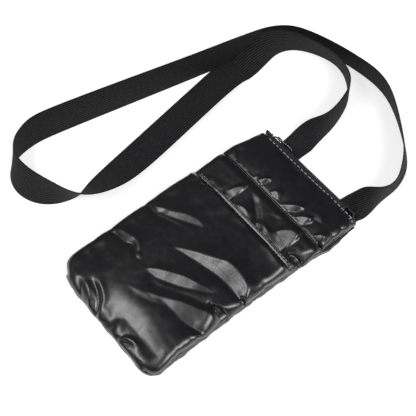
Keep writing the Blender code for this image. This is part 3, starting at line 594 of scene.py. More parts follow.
# Nylon taffeta with a glossy coat, as on puffer jackets: the coat gives soft broad lights
# on every fold, and the fine weave breaks them up into a faint grain.
def satin_nylon_material():
    material, tree, shader = new_material("coated_nylon_taffeta", {
        "IOR": 1.58, "Coat Weight": 0.35, "Coat Roughness": 0.28})
    place = add_node(tree, "TexCoord").outputs["Object"]
    wrinkle_size, grain_size = 0.006, 0.0005
    wrinkle = add_node(tree, "TexNoise", {"Vector": place, "Scale": 1 / wrinkle_size,
                                          "Detail": 3.0, "Roughness": 0.55, "Distortion": 0.6})
    grain = add_node(tree, "TexNoise", {"Vector": place, "Scale": 1 / grain_size,
                                        "Detail": 2.0})
    creased = add_node(tree, "Bump", {"Height": wrinkle, "Strength": 0.22, "Distance": 0.0006})
    bump = add_node(tree, "Bump", {"Height": grain, "Normal": creased, "Strength": 0.12,
                                   "Distance": 0.0002})
    rough = add_node(tree, "MapRange", {0: wrinkle, 1: 0.3, 2: 0.7, 3: 0.27, 4: 0.36})
    finish(shader, wrinkle, "0f0f11", "17171a", bump, rough)
    return material


satin = satin_nylon_material()

# Back panel: coated nylon over wadding. It lies on the table, and its padded edge bulges
# out below the seam, furthest at the upper right.
BACK_SEAM_HEIGHT = 3.7
BACK_LINING_REST = 4.1
BACK_LINING_MOUTH = 3.1
BACK_LINING_RIM = 4.2
BACK_HIGHEST = 3.9
BACK_MOUTH = 0.55            # the panel's upper face by the mouth, below the zip's tape
TABLE_GAP = 0.05
BACK_BULGE = 3.0             # out past the seam, on the right side
BACK_BULGE_PLACE = 70.0


def back_lining_low(x, y):
    """Height of the lining's lower face: level inside, lower at the mouth and at the rim."""
    inside = mix(BACK_LINING_REST, BACK_LINING_MOUTH, mouth_share(y))
    return mix(BACK_LINING_RIM, inside, swell(x, y))


def back_mesh():
    """The lower skin runs from the seam out over the bulge and in along the table; the
    upper one lies straight under the lining."""
    (x, y), (plain_x, plain_y), side, end = puffed_grid(RIM_BOTTOM, SHELL_TOP, 1.8)
    thin = ease((y - WADDING_TOP + WADDING_THINS) / WADDING_THINS)
    seam = mix(BACK_SEAM_HEIGHT, TABLE_GAP, thin)
    low = mix(seam, TABLE_GAP, side * end)
    right = ease(x / RIM_HALF)
    wave = 0.25 * np.sin(y / 3.1) + 0.2 * np.sin(y / 1.7 + 1.0)
    bulge = 1.2 + BACK_BULGE * np.exp(-((y - BACK_BULGE_PLACE) / 14.0) ** 2)
    wide = (wave - 1.4 + right * bulge) * ease((SHELL_TOP - y) / 12.0)
    x = x + np.sign(x) * wide * bulge_share(side)
    y = y - 0.3 * np.sin(x / 2.9) * bulge_share(end)
    high = np.minimum(back_lining_low(plain_x, plain_y) - PIECE_GAP, BACK_HIGHEST)
    thin = ease((plain_y - WADDING_TOP + WADDING_THINS) / WADDING_THINS)
    high = mix(high, BACK_MOUTH, thin)
    lower, upper = surface(x, y, low), surface(plain_x, plain_y, high)
    return closed_pad(upper, lower)


back_panel = add_piece("back_panel", back_mesh(), satin, "pouch", ["back_shell", "back_wadding"])

# Linings of the main compartment: thin plain woven polyester, one behind each panel. They
# are cut a little smaller than the panels, and sewn in with them under the binding.
FRONT_LINING_REST = 9.2
FRONT_LINING_MOUTH = 10.6
FRONT_LINING_RIM = 4.9
LINING_THICKNESS = 0.4
LINING_STEP = 0.7            # a lining and the gap to the next layer


def front_lining_low(x, y):
    """Height of the lining's lower face: it rises to the mouth and sinks to the rim."""
    inside = mix(FRONT_LINING_REST, FRONT_LINING_MOUTH, mouth_share(y))
    return mix(FRONT_LINING_RIM, inside, swell(x, y))


# Polyester taffeta lining, plain woven: dull, with the squares of the weave.
def lining_material():
    material, tree, shader = new_material("plain_woven_polyester_lining", {"Roughness": 0.6})
    place = add_node(tree, "TexCoord").outputs["Object"]
    thread_pitch = 0.0006
    waves = [add_node(tree, "TexWave", {"Vector": place, "Scale": 0.31 / thread_pitch},
                      bands_direction=way).outputs["Fac"] for way in "XY"]
    cloth = add_node(tree, "Math", dict(enumerate(waves)), operation="MULTIPLY")
    bump = add_node(tree, "Bump", {"Height": cloth, "Strength": 0.5, "Distance": 0.0001})
    finish(shader, cloth, "1b1b1d", "2a2a2d", bump)
    return material


lining_cloth = lining_material()


def add_lining(name, node, height_at, top):
    """A lining: the given height field with the cloth's thickness above it."""
    x, y, _ = lining_grid(top, 2.5)
    height = height_at(x, y)
    lower = surface(x, y, height)
    piece = add_piece(name, closed_pad(surface(x, y, height + LINING_THICKNESS), lower),
                      lining_cloth, "pouch", [node])


add_lining("back_lining_cloth", "back_lining", back_lining_low, SHELL_TOP)
add_lining("front_lining_cloth", "front_lining", front_lining_low, SHELL_TOP)

# Front panel: coated nylon over wadding, quilted across once. Two puffed bands show
# between the zip and the slip pocket, and the thread gathers the cloth along the seam.
FRONT_SHELL_REST = 13.0
FRONT_SHELL_MOUTH = 12.6
FRONT_SEAM_HEIGHT = 6.1
FRONT_TOP = SHELL_TOP - 0.8  # the turned edge at the mouth draws it back a little
PAD_PITCH = 0.95             # between two places of its skin
UPPER_PUFF = 2.6
SECOND_PUFF = 1.4
SECOND_TILT = 0.1            # slope of the second band towards the pocket
# Folds of the front: line, height, widths left and right of it, crispness, fades
FRONT_FOLDS = (
    (((-12, 50), (-4, 45.5), (4, 40), (12, 34), (15, 30)), -1.1, 1.6, 2.2, 0.3, (0.3, 0.0)),
    (((-8, 50), (0, 46), (8, 40), (16, 34)), -0.8, 1.6, 1.8, 0.3, (0.3, 0.0)),
    (((17, 52), (21, 45), (22, 38)), -0.8, 4.0, 4.0, 0.5, (0.2, 0.2)),
    (((-6, 92), (4, 84), (10, 76)), -0.5, 3.0, 3.0, 0.5, (0.2, 0.4)),
    (((6, 92), (2, 85), (-2, 80)), -0.4, 2.0, 2.0, 0.4, (0.2, 0.4)),
)
# Flanks that face the light: upper line, lower line, slope, sink, lengths above and below
FRONT_FACETS = (
    (((23, 37), (27, 43.5), (32, 49), (36.5, 50.5), (39, 48), (40, 42), (40.6, 36)),
     ((23, 37), (27, 33), (32, 31.5), (36.5, 31.5), (39.2, 32.5), (40.0, 34), (40.6, 36)),
     0.27, 0.45, 7.0, 4.0),
    (((-25.5, 36), (-23, 42), (-19.8, 46), (-17.7, 45), (-17, 38)),
     ((-25.5, 36), (-23, 32.5), (-20, 31), (-17.7, 32), (-17, 38)), 0.27, 0.45, 5.0, 3.0),
    (((-13, 33), (-6, 35.5), (0, 35.5), (5, 33)), ((-13, 33), (-6, 31), (0, 31), (5, 33)),
     0.34, 0.3, 3.0, 2.0),
    (((7, 33), (13, 36.2), (22, 36.2), (30, 33)), ((7, 33), (13, 31), (22, 31), (30, 33)),
     0.34, 0.3, 3.0, 2.0),
    (((-21.5, 59.8), (-20.2, 62), (-18, 62.8)), ((-21.5, 59.8), (-19.5, 60), (-18, 62.8)),
     0.45, 0.15, 2.5, 1.0),
    (((-17.8, 59.6), (-15, 63.8), (-12, 66.8), (-9.4, 67.2)),
     ((-17.8, 59.6), (-14, 59.6), (-11.5, 61.8), (-9.4, 67.2)), 0.45, 0.15, 3.0, 1.0),
    (((-3.2, 59.8), (0, 64.2), (3.2, 64.2), (7, 61)), ((-3.2, 59.8), (0, 59.9), (3.2, 60.2),
                                                      (7, 61)), 0.42, 0.15, 3.0, 1.0),
    (((10.5, 59.8), (16, 64.5), (20, 67.6), (25.5, 70.4)),
     ((10.5, 59.8), (17, 59.9), (22, 63.5), (25.5, 70.4)), 0.45, 0.15, 3.5, 1.2),
    (((24.3, 59.8), (29, 64.6), (33, 67.3), (36.5, 67)),
     ((24.3, 59.8), (29.5, 59.8), (34, 60.6), (36.5, 67)), 0.45, 0.15, 3.5, 1.2),
    (((28, 71), (34, 75), (43, 73)), ((28, 71), (35, 70.6), (43, 73)), 0.28, 0.3, 3.0, 3.0),
    (((44.2, 59.8), (48, 64.6), (51.2, 66), (53, 64)),
     ((44.2, 59.8), (48, 59.9), (51.5, 60.6), (53, 64)), 0.45, 0.15, 3.0, 1.0),
)
# Places in the right seam where the panel is pinched in: y, half height, depth inwards
FRONT_NOTCHES = ((37.8, 2.5, 7.5), (59.5, 1.2, 2.5))
# Where the edge is drawn in above a notch, the panel drops off right of this line
FRONT_DROP = ((46.2, 36.2), (47.8, 40.2), (51.8, 48.2), (55, 53.5), (58, 58.2))
EDGE_SLOPE = 0.6
# The rows of places are closer together here: middle, half width, pitch
FRONT_BANDS = ((62.0, 33.0, 0.85), (38.5, 4.5, 0.5), (QUILT_SEAM, 2.0, 0.25))
# Places where the padded edge is drawn in behind the seam: y, reach down and up, depth
FRONT_TUCKS = ((36.0, 3.0, 2.0, 3.0), (72.5, 1.8, 1.8, 0.9), (81.5, 1.8, 1.8, 0.9),
               (90.5, 2.0, 2.0, 0.5))


def relief(x, y, folds, facets):
    """The heights of all the folds and flanks of a panel."""
    total = np.zeros(x.shape)
    for path, height, left, right, crisp, fade in folds:
        total += fold(x, y, path, height, left, right, crisp, fade)
    for upper, lower, slope, sink, above, below in facets:
        total += facet(x, y, upper, lower, slope, sink, above, below)
    return total


def pinched(x, y, notches):
    """1, and less in each notch of the right seam: it gets narrower towards its inner end."""
    share = np.ones(x.shape)
    for place, half, depth in notches:
        inward = np.clip((x - RIM_HALF + depth) / depth, 0.0, 1.0)
        across = np.abs(y - place) / (half * (0.45 + 0.65 * inward))
        share -= 0.9 * ease(inward * 2.2) * np.exp(-across ** 4)
    return np.clip(share, 0.0, 1.0)


def tucked(x, y, side, tucks, overhang=0.0):
    """x moved at the right edge: out by the overhang, and in at each place where the edge is
    drawn in. It moves in full at the top of the padded edge, less towards the seam, and
    less over twelve millimetres into the panel."""
    share = np.where(side < 1.0, side, ease(1.3 - (RIM_HALF - x) / 12.0)) * (x > 0)
    total = np.full(x.shape, -overhang)
    for place, down, up, depth in tucks:
        away = np.where(y < place, (place - y) / down, (y - place) / up)
        total += (depth + overhang * (depth > 3.0)) * np.exp(-away ** 1.5)
    return x - total * share


def drawn_off(x, y, line):
    """How far the panel drops off to the right of a line that is given from below up."""
    across = np.array(line, dtype=float)
    start = np.interp(y, across[:, 1], across[:, 0], left=90.0, right=90.0)
    return EDGE_SLOPE * ramp(x - start, 0.8)


def ramp(length, bend):
    """0 for lengths below 0, the length itself above, with a bend between the two."""
    return (length + np.sqrt(length ** 2 + bend ** 2)) / 2.0


def front_inside(x, y):
    """Two puffed bands with the narrow quilting channel between them."""
    channel = np.exp(-np.abs((y - QUILT_SEAM) / 0.6) ** 1.6)
    arch = np.sin(np.pi * np.clip((y - QUILT_SEAM) / (WADDING_TOP + 3 - QUILT_SEAM), 0, 1))
    upper = 0.75 * arch
    lower = ease(np.minimum(QUILT_SEAM - y, y - POCKET_TOP + 2.0) / 8.0)
    tilt = SECOND_TILT * np.clip(y - 46.0, -16.0, 12.0) * lower
    edge = 1.6 * ease((np.abs(x) - 26.0) / 26.0)
    inside = mix(FRONT_SHELL_REST, FRONT_SHELL_MOUTH, mouth_share(y)) - edge * (0.4 + 0.6 * upper)
    return (inside + UPPER_PUFF * upper + SECOND_PUFF * lower + tilt - 1.3 * channel
            - drawn_off(x, y, FRONT_DROP))


def front_parts():
    """Upper skin and lower face of the front panel."""
    (x, y), (plain_x, plain_y), side, end = puffed_grid(RIM_BOTTOM, FRONT_TOP, PAD_PITCH,
                                                        FRONT_BANDS)
    share = side * end * pinched(x, y, FRONT_NOTCHES)
    high = mix(FRONT_SEAM_HEIGHT, front_inside(x, y) + relief(x, y, FRONT_FOLDS, FRONT_FACETS),
               share)
    low = front_lining_low(plain_x, plain_y) + LINING_STEP
    shown = ease((y - POCKET_TOP) / 4.0)
    wide = 0.5 * bulge_share(side) * shown
    x = mix(x, tucked(x, y, side, FRONT_TUCKS), shown) + np.sign(x) * wide
    lowest = front_lining_low(x, y) + LINING_STEP + PIECE_GAP
    return (surface(x, y, np.maximum(high, lowest)),
            surface(plain_x, plain_y, np.minimum(low, high - PIECE_GAP)))


front_upper, front_lower = front_parts()
front_edge = from_seams(front_upper, POCKET_TOP, SHELL_TOP)
front_held = held_weights(front_edge, 0.25)
front_held[np.abs(front_upper[:, :, 1] - QUILT_SEAM) < 2.1] = 1.0
front_held[front_upper[:, :, 1] < POCKET_TOP] = 1.0
front_upper = settled(front_upper, front_held, mix(0.15, 0.8, ease((10.0 - front_edge) / 8.0)),
                      0.3, 1.0)
front_panel = add_piece("front_panel", closed_pad(front_upper, front_lower), satin, "pouch",
                        ["front_shell", "front_wadding"])

# Slip pocket: a third padded panel over the lower part of the front, sewn in at the sides
# and the bottom. Its cloth is loose, and folds run out from the notches in the side seams.
POCKET_LINING_REST = 17.4
POCKET_LINING_RIM = 6.4
POCKET_SHELL_REST = 20.8
POCKET_PAD = 3.2             # least thickness of the pad with its lining
POCKET_SEAM_HEIGHT = 7.6
MOUTH_SAG = 2.6
POCKET_MIDDLE = 24.0         # the pad is level this far from its middle line
POCKET_SIDE = 29.0           # and drops off over this width
HEM_THICKNESS = 2.0
HEM_WIDTH = 4.0
BOTTOM_SLOPE_FROM = -79.5    # below this the pad slopes down to the bottom seam
BOTTOM_SLOPE = 0.37
HOLLOW_FROM = -91.5          # and below this it is nearly level again, right of the middle
HOLLOW_SLOPE = 0.33
# Flanks that face the light: upper line, lower line, slope, sink, lengths above and below
POCKET_FACETS = (
    (((-12, -30.5), (-9, -28.8), (0, -22.5), (10, -16.5), (20, -11), (26, -7.5), (35, -6),
      (44, -6.5), (50, -9), (55, -14), (58, -20)),
     ((-12, -30.5), (-9, -29.2), (10, -23.5), (30, -18.5), (44, -17.2), (50, -17.5), (58, -20)),
     (0.46, 0.47), 0.35, 8.0, 5.0),
    (((-9, -57), (-5, -52), (5, -45), (15, -39), (30, -33), (38, -30)),
     ((-9, -57), (-5, -55.5), (2, -54), (10, -50), (22, -43), (38, -30)),
     (0.43, 0.34), 0.4, 5.0, 4.0),
    (((5, -68), (12, -64), (20, -59), (30, -52.5), (42, -46), (50, -43), (57, -42)),
     ((5, -68), (12, -66.5), (20, -63), (40, -60.5), (50, -57), (57, -52)),
     0.33, 0.45, 5.0, 6.0),
    (((-49, -19), (-45, -15.5), (-40, -12.5), (-36, -11), (-30, -7.5), (-22, -3), (-14, -0.5),
      (-8, -1)),
     ((-49, -19), (-44, -19.3), (-40, -17.0), (-36, -16.0), (-29, -13), (-21, -9), (-14, -5),
      (-8, -1)), (0.36, 0.22), 0.35, 6.0, 3.0),
    (((-52, -52), (-47, -49.5), (-40, -48), (-33, -47), (-27, -49.5), (-24, -52)),
     ((-52, -52), (-47, -53.3), (-38, -52.8), (-33, -51), (-27, -51.5), (-24, -52)),
     0.42, 0.35, 5.0, 2.5),
    (((-8, -75), (3, -70), (14, -66), (24, -63)), ((-8, -75), (3, -73.5), (14, -69.5), (24, -63)),
     0.14, 0.4, 4.0, 4.0),
)
POCKET_FOLDS = (
    (((14, -16), (24, -13.8), (36, -13.2), (47, -14.5)), -0.14, 0.9, 0.9, 0.3, (0.3, 0.3)),
    (((-12, -58), (5, -59), (15, -54), (30, -46), (46, -39)),
     -1.0, 3.0, 4.0, 0.4, (0.3, 0.1)),
    (((-50, -19.5), (-43, -21.5), (-35, -19.5), (-22, -15), (-12, -12)),
     -1.1, 2.0, 4.0, 0.2, (0.0, 0.6)),
    (((-50, -55), (-38, -54.5), (-32, -51.5), (-27, -53), (-22, -55), (-15, -55.5)),
     -0.9, 1.6, 2.6, 0.2, (0.0, 0.4)),
    (((-24, -54), (-21.5, -53.5), (-19, -55)), 0.5, 1.4, 1.4, 0.3, (0.3, 0.3)),
    (((-29, -88.5), (-18, -90.5), (-10, -95), (-4, -104)), 1.4, 3.2, 1.6, 0.2, (0.4, 0.0)),
    (((-31, -91.5), (-20, -93.8), (-11.5, -98.5), (-6, -105)), -1.7, 2.0, 1.6, 0.2, (0.4, 0.0)),
    (((-32, -95.5), (-23, -98.5), (-15.5, -104.5)), 1.0, 2.4, 1.4, 0.25, (0.4, 0.0)),
    (((-38, -97.5), (-30, -100.5), (-24, -105)), -0.8, 1.8, 1.6, 0.3, (0.3, 0.0)),
    (((20, -104), (22.5, -100.3), (27, -97.8), (33, -96.8), (40, -97.5)),
     1.3, 1.5, 1.7, 0.2, (0.05, 0.5)),
    (((18, -105), (23, -102.5), (29, -100.6), (36, -100)), -1.2, 1.4, 1.8, 0.2, (0.0, 0.5)),
    (((-45, 22), (-35, 14), (-25, 9)), 0.8, 6.0, 5.0, 0.6, (0.3, 0.4)),
    (((-8, 27), (-14, 15), (-22, 8)), 0.7, 4.0, 4.0, 0.6, (0.2, 0.4)),
    (((10, 27), (14, 12), (12, -2)), -0.8, 7.0, 7.0, 0.6, (0.2, 0.4)),
    (((28, 26), (42, 24), (56, 22)), 0.9, 2.0, 3.0, 0.3, (0.3, 0.2)),
    (((-50, -72), (-38, -74), (-25, -80)), -0.6, 5.0, 5.0, 0.6, (0.1, 0.4)),
)
POCKET_NOTCHES = ((-34.4, 2.4, 7.5), (-16.3, 1.2, 2.5))
POCKET_DROP = ((46.5, -35.5), (46.9, -33.1), (51.9, -27.1), (56, -21))
POCKET_BANDS = ((-34.0, 5.0, 0.5),)
POCKET_OVERHANG = 0.4
# Places where the padded edge is drawn in behind the seam: y, reach down and up, depth
POCKET_TUCKS = ((-36.6, 7.0, 1.5, 6.0), (-59.0, 2.0, 2.0, 0.7), (-64.5, 2.0, 2.0, 0.9),
                (-70.5, 2.0, 2.2, 0.7), (-77.0, 2.2, 2.2, 1.1), (-84.0, 2.0, 2.5, 0.8),
                (5.0, 2.5, 2.5, 0.8))


def mouth_height(x, y):
    """Height of the pocket's lining by its mouth, which sags to the middle and the sides."""
    sides = 2.6 * ease((np.abs(x) - POCKET_MIDDLE) / POCKET_SIDE)
    return POCKET_LINING_REST - MOUTH_SAG * ease((y - 6.0) / 24.0) - sides


def pocket_inside(x, y):
    """A pad crowned across, which drops off to its sides, and to the bottom at a slope."""
    sides = 4.0 * ease((np.abs(x) - POCKET_MIDDLE) / POCKET_SIDE)
    start = BOTTOM_SLOPE_FROM - 0.007 * (x - 15.0) ** 2
    hollow = ease((x - 3.0) / 13.0) * ease((55.0 - x) / 12.0)
    bottom = BOTTOM_SLOPE * ramp(start - y, 8.0) - HOLLOW_SLOPE * hollow * ramp(HOLLOW_FROM - y, 1.2)
    return POCKET_SHELL_REST + 0.8 - sides - bottom - drawn_off(x, y, POCKET_DROP)


def pocket_relief(x, y):
    """The pad with its flanks and folds."""
    return pocket_inside(x, y) + relief(x, y, POCKET_FOLDS, POCKET_FACETS)


def pocket_lining_low(x, y):
    """Under the pad, and never nearer to its upper skin than the pad is thick."""
    inside = np.minimum(mouth_height(x, y), pocket_relief(x, y) - POCKET_PAD)
    return mix(POCKET_LINING_RIM, inside, swell(x, y))


def pocket_parts():
    """Upper skin and lower face of the slip pocket."""
    (x, y), (plain_x, plain_y), side, end = puffed_grid(RIM_BOTTOM, POCKET_TOP, PAD_PITCH,
                                                        POCKET_BANDS)
    share = side * end * pinched(x, y, POCKET_NOTCHES)
    hem = mouth_height(x, y) + HEM_THICKNESS - PIECE_GAP
    inside = mix(pocket_relief(x, y), hem, ease((y - POCKET_TOP + 5.0) / 5.0))
    high = mix(POCKET_SEAM_HEIGHT, inside, share)
    wide = 0.4 + 0.5 * (x < 0)
    x = tucked(x, y, side, POCKET_TUCKS, POCKET_OVERHANG) + np.sign(x) * wide * bulge_share(side)
    y = y - 0.6 * bulge_share(end)
    low = np.minimum(pocket_lining_low(plain_x, plain_y) + LINING_STEP, high - 0.4)
    return surface(x, y, high), surface(plain_x, plain_y, low)


add_lining("pocket_lining_cloth", "pocket_lining", pocket_lining_low, POCKET_TOP)
pocket_upper, pocket_lower = pocket_parts()
pocket_edge = from_seams(pocket_upper, RIM_BOTTOM, POCKET_TOP)
pocket_upper = settled(pocket_upper, held_weights(pocket_edge, 0.3),
                       mix(0.15, 0.8, ease((11.0 - pocket_edge) / 9.0)), 0.3, 1.2)
slip_pocket = add_piece("slip_pocket", closed_pad(pocket_upper, pocket_lower), satin, "pouch",
                        ["pocket_shell", "pocket_wadding"])

# Hem of the slip pocket: the cloth's edge folded twice, and topstitched in two rows, which
# leave three rounded beads between them.
HEM_ROWS = (POCKET_MOUTH - 3.1, POCKET_MOUTH - 0.9)
HEM_SAG = 0.8                # the hem has sunk this much from its level line
# Section of the hem: distance below the mouth, and height of its upper face
HEM_SECTION = ((-4.0, 0.3), (-3.9, 1.1), (-3.3, 1.4), (-3.1, 1.1), (-2.9, 1.2), (-1.8, 1.72),
               (-1.2, 1.8), (-0.9, 1.35), (-0.6, 1.7), (-0.2, 1.55), (0.0, 0.4))


def hem_high(x, y):
    """The hem's section over the whole pocket's mouth, gathered slightly by the thread."""
    below, lift = np.transpose(HEM_SECTION)
    section = np.interp(y - POCKET_MOUTH, below, lift)
    return mouth_height(x, y) + section + 0.05 * np.sin(x / 1.9 + 0.6 * np.sin(x / 5.0))


def hem_parts():
    """Upper and lower face of the hem."""
    (x, y), (plain_x, plain_y), side, _ = puffed_grid(POCKET_MOUTH - HEM_WIDTH, POCKET_MOUTH, 0.22)
    high = mix(POCKET_SEAM_HEIGHT, hem_high(x, y), side)
    low = mix(POCKET_LINING_RIM, mouth_height(plain_x, plain_y), swell(plain_x, plain_y))
    return (surface(x, y - HEM_SAG, high),
            surface(plain_x, plain_y - HEM_SAG, np.minimum(low, high - PIECE_GAP)))


hem_upper, hem_lower = hem_parts()
add_piece("pocket_hem_band", closed_pad(hem_upper, hem_lower), satin, "pouch", ["pocket_hem"])

# Edge binding: a grosgrain ribbon folded round the raw edges of all the panels and sewn
# through, which leaves a groove between its two rounded sides.
BINDING_LOW = 3.0
BINDING_HIGH = 8.0


def edge_line(inset, step):
    """The pouch's U-shaped edge line at even steps, down the left side and up the right."""
    half = BAG_HALF - inset
    radius = CORNER_RADIUS - inset
    low = BOTTOM_EDGE + inset
    turn = np.linspace(0.0, np.pi / 2, 10)
    left = np.column_stack((-half + radius - radius * np.cos(turn),
                            low + radius - radius * np.sin(turn)))
    right = left[::-1] * (-1, 1)
    line = np.vstack(((-half, SHELL_TOP), left, right, (half, SHELL_TOP)))
    along = lengths_along(line)
    line = resample(line, along, np.linspace(0, along[-1], int(round(along[-1] / step)) + 1))
    return np.column_stack(shaped(line[:, 0], line[:, 1]))


def squared(wave, power):
    """A wave between -1 and 1 with flatter crests, by a power below 1."""
    return np.sign(wave) * np.abs(wave) ** power


def binding_mesh():
    """A rounded upright section carried round the edge, its size varying where the tape is
    gathered."""
    line = edge_line(BINDING_WIDTH / 2, 0.8)
    heading = unit(np.gradient(line, axis=0))
    out = np.column_stack((heading[:, 1], -heading[:, 0]))
    along = lengths_along(line)
    ripple = (0.07 * np.sin(along * 2 * np.pi / 7.3) + 0.05 * np.sin(along * 2 * np.pi / 3.1 + 1)
              + 0.07 * np.sin(along * 2 * np.pi / 12.9 + 2))
    turn = np.linspace(0, 2 * np.pi, 36, endpoint=False)
    across = squared(np.cos(turn), 0.7) * BINDING_WIDTH / 2
    tall = squared(np.sin(turn), 0.5) * (BINDING_HIGH - BINDING_LOW) / 2
    tall -= 0.55 * np.exp(-((across + 0.1) / 0.3) ** 2) * (tall > 1.0)
    wide = (0.9 + ripple)[:, None] * across[None, :]
    points = np.empty((len(line), len(turn), 3))
    points[:, :, :2] = line[:, None, :] + wide[:, :, None] * out[:, None, :]
    points[:, :, 2] = (BINDING_HIGH + BINDING_LOW) / 2 + tall[None, :] * (0.95 + ripple[:, None] / 2)
    mesh = tube_mesh(points, flip=True)
    write_weave_uv(mesh, along, np.linspace(0.0, 2 * (BINDING_HIGH - BINDING_LOW) + 4,
                                            len(turn) + 1))
    return mesh


# Black polyester tape with fine ribs straight across it: a soft gloss on the grosgrain
# ribbon of the binding, duller on the zip's tapes and end tabs.
def ribbed_tape_material(name, rib_pitch, dark, light, roughness, on_weave=False):
    """Ribs along the map 'weave', or for a straight tape along X."""
    material, tree, shader = new_material(name, {"Roughness": roughness})
    if on_weave:
        place = add_node(tree, "UVMap", uv_map="weave").outputs["UV"]
        lengthwise, per_mm = "Y", 1.0
    else:
        place = add_node(tree, "TexCoord").outputs["Object"]
        lengthwise, per_mm = "X", 1.0 / MM
    split = add_node(tree, "SeparateXYZ", {0: place})
    turns = add_node(tree, "Math", {0: split.outputs[lengthwise],
                                    1: 2 * math.pi * per_mm / rib_pitch}, operation="MULTIPLY")
    rib = add_node(tree, "Math", {0: turns}, operation="SINE")
    fibre = add_node(tree, "TexNoise", {"Vector": place, "Scale": 1.5 * per_mm, "Detail": 3.0})
    height = add_node(tree, "Math", {0: rib, 1: 0.5, 2: fibre}, operation="MULTIPLY_ADD")
    bump = add_node(tree, "Bump", {"Height": height, "Strength": 0.8, "Distance": 0.0002})
    finish(shader, height, dark, light, bump)
    return material


grosgrain = ribbed_tape_material("polyester_grosgrain_ribbon", 1.4, "08080a", "161618", 0.36,
                                 on_weave=True)
add_piece("edge_binding_tape", binding_mesh(), grosgrain, "pouch", ["edge_binding"])

# Zip tapes: two woven polyester tapes, each sewn in flat under the edge of its panel and
# turned down to the middle of the mouth, where it carries one of the coils.
ZIP_HALF = 45.0
ZIP_HEIGHT = 7.05
TAPE_START = 91.3
TAPE_THICKNESS = 0.5
TAPE_FLANGES = {"front": 11.55, "back": 2.55}
TAPE_LIP = 1.0               # half the clear width between the tapes
TAPE_BEND = 0.9              # radius of the turn
TAPE_EDGE = 0.12             # the selvedges are rounded by this


def tape_mesh(flange, side):
    """An angled section with rounded edges, carried along the zip, with a slight ripple
    where the stitching draws it in."""
    turn = np.linspace(0.0, np.pi / 2, 6)
    face = TAPE_FACE - TAPE_THICKNESS / 2
    run = np.linspace(TAPE_START, face - TAPE_BEND, 14)[:-1]
    drop = np.linspace(flange - side * TAPE_BEND, ZIP_HEIGHT + side * TAPE_LIP, 6)[1:]
    line = np.vstack((np.column_stack((run, np.full(len(run), flange))),
                      np.column_stack((face - TAPE_BEND + TAPE_BEND * np.sin(turn),
                                       flange - side * TAPE_BEND * (1 - np.cos(turn)))),
                      np.column_stack((np.full(len(drop), face), drop))))
    way = unit(np.gradient(line, axis=0))
    out = np.column_stack((-way[:, 1], way[:, 0])) * TAPE_THICKNESS / 2
    loop = np.vstack((line + out, line[-1] + way[-1] * TAPE_EDGE, (line - out)[::-1],
                      line[0] - way[0] * TAPE_EDGE))
    x = even_places(-ZIP_HALF, ZIP_HALF, 0.9)
    points = np.empty((len(x), len(loop), 3))
    points[:, :, 0] = x[:, None]
    points[:, :, 1] = loop[None, :, 0]
    points[:, :, 2] = loop[None, :, 1] + 0.10 * np.sin(x / 2.1)[:, None]
    return tube_mesh(points)


zip_tape_cloth = ribbed_tape_material("woven_polyester_zip_tape", 1.0, "0a0a0c", "232326", 0.65)
for which, side in (("front", 1), ("back", -1)):
    add_piece("zip_tape_cloth_" + which, tape_mesh(TAPE_FLANGES[which], side), zip_tape_cloth,
              "pouch", ["zip_tape_" + which])

# Coils: each is one nylon monofilament wound into a flat spiral and sewn to its tape; the
# turns of one stand between those of the other.
COIL_PITCH = 1.15
COIL_WIRE = 0.27
COIL_REACH = (0.65, 2.55)    # from the middle of the zip
COIL_LEVELS = (99.6, 101.1)
COIL_HALF = 43.1
COIL_TURN_POINTS = 10
COIL_RING = 6


def coil_mesh(side):
    """A round wire carried along a flat spiral."""
    turns = int((2 * COIL_HALF - 2 * COIL_WIRE) / COIL_PITCH)
    angle = np.linspace(0.0, 2 * np.pi * turns, turns * COIL_TURN_POINTS + 1)
    wide = (COIL_REACH[1] - COIL_REACH[0]) / 2
    deep = (COIL_LEVELS[1] - COIL_LEVELS[0]) / 2
    line = np.column_stack((
        -turns * COIL_PITCH / 2 + COIL_PITCH * (angle / (2 * np.pi) + 0.25 * side),
        sum(COIL_LEVELS) / 2 + (deep - COIL_WIRE) * np.sin(angle),
        ZIP_HEIGHT + side * (sum(COIL_REACH) / 2 + (wide - COIL_WIRE) * np.cos(angle))))
    way = unit(np.gradient(line, axis=0))
    along = np.array((1.0, 0.0, 0.0))
    first = unit(along - (way @ along)[:, None] * way)
    second = np.cross(way, first)
    turn = np.linspace(0.0, 2 * np.pi, COIL_RING, endpoint=False)[None, :, None]
    points = line[:, None, :] + COIL_WIRE * (np.cos(turn) * first[:, None, :]
                                             + np.sin(turn) * second[:, None, :])
    return tube_mesh(points)


# Nylon monofilament, drawn and heat set: smooth and a little glossy.
def monofilament_material():
    material, tree, shader = new_material("nylon_monofilament", {"IOR": 1.53})
    place = add_node(tree, "TexCoord").outputs["Object"]
    streak_size = 0.002
    streak = add_node(tree, "TexNoise", {"Vector": place, "Scale": 1 / streak_size})
    rough = add_node(tree, "MapRange", {0: streak, 3: 0.28, 4: 0.42})
    finish(shader, streak, "121214", "1f1f22", rough=rough)
    return material


monofilament = monofilament_material()
for which, side in (("front", 1), ("back", -1)):
    add_piece("zip_coil_spiral_" + which, coil_mesh(side), monofilament, "pouch",
              ["zip_coil_" + which])

# End tabs: short pieces of ribbon, each folded over one end of the zip and sewn through,
# so that the ends of the tapes don't fray.
TAB_NEAR = 45.3
TAB_FAR = {"left": 50.4, "right": 52.3}
TAB_LEVELS = (98.8, 101.2)
TAB_HEIGHT = 6.2
TAB_ROUND = 4.0              # exponent of the section: a square with soft corners


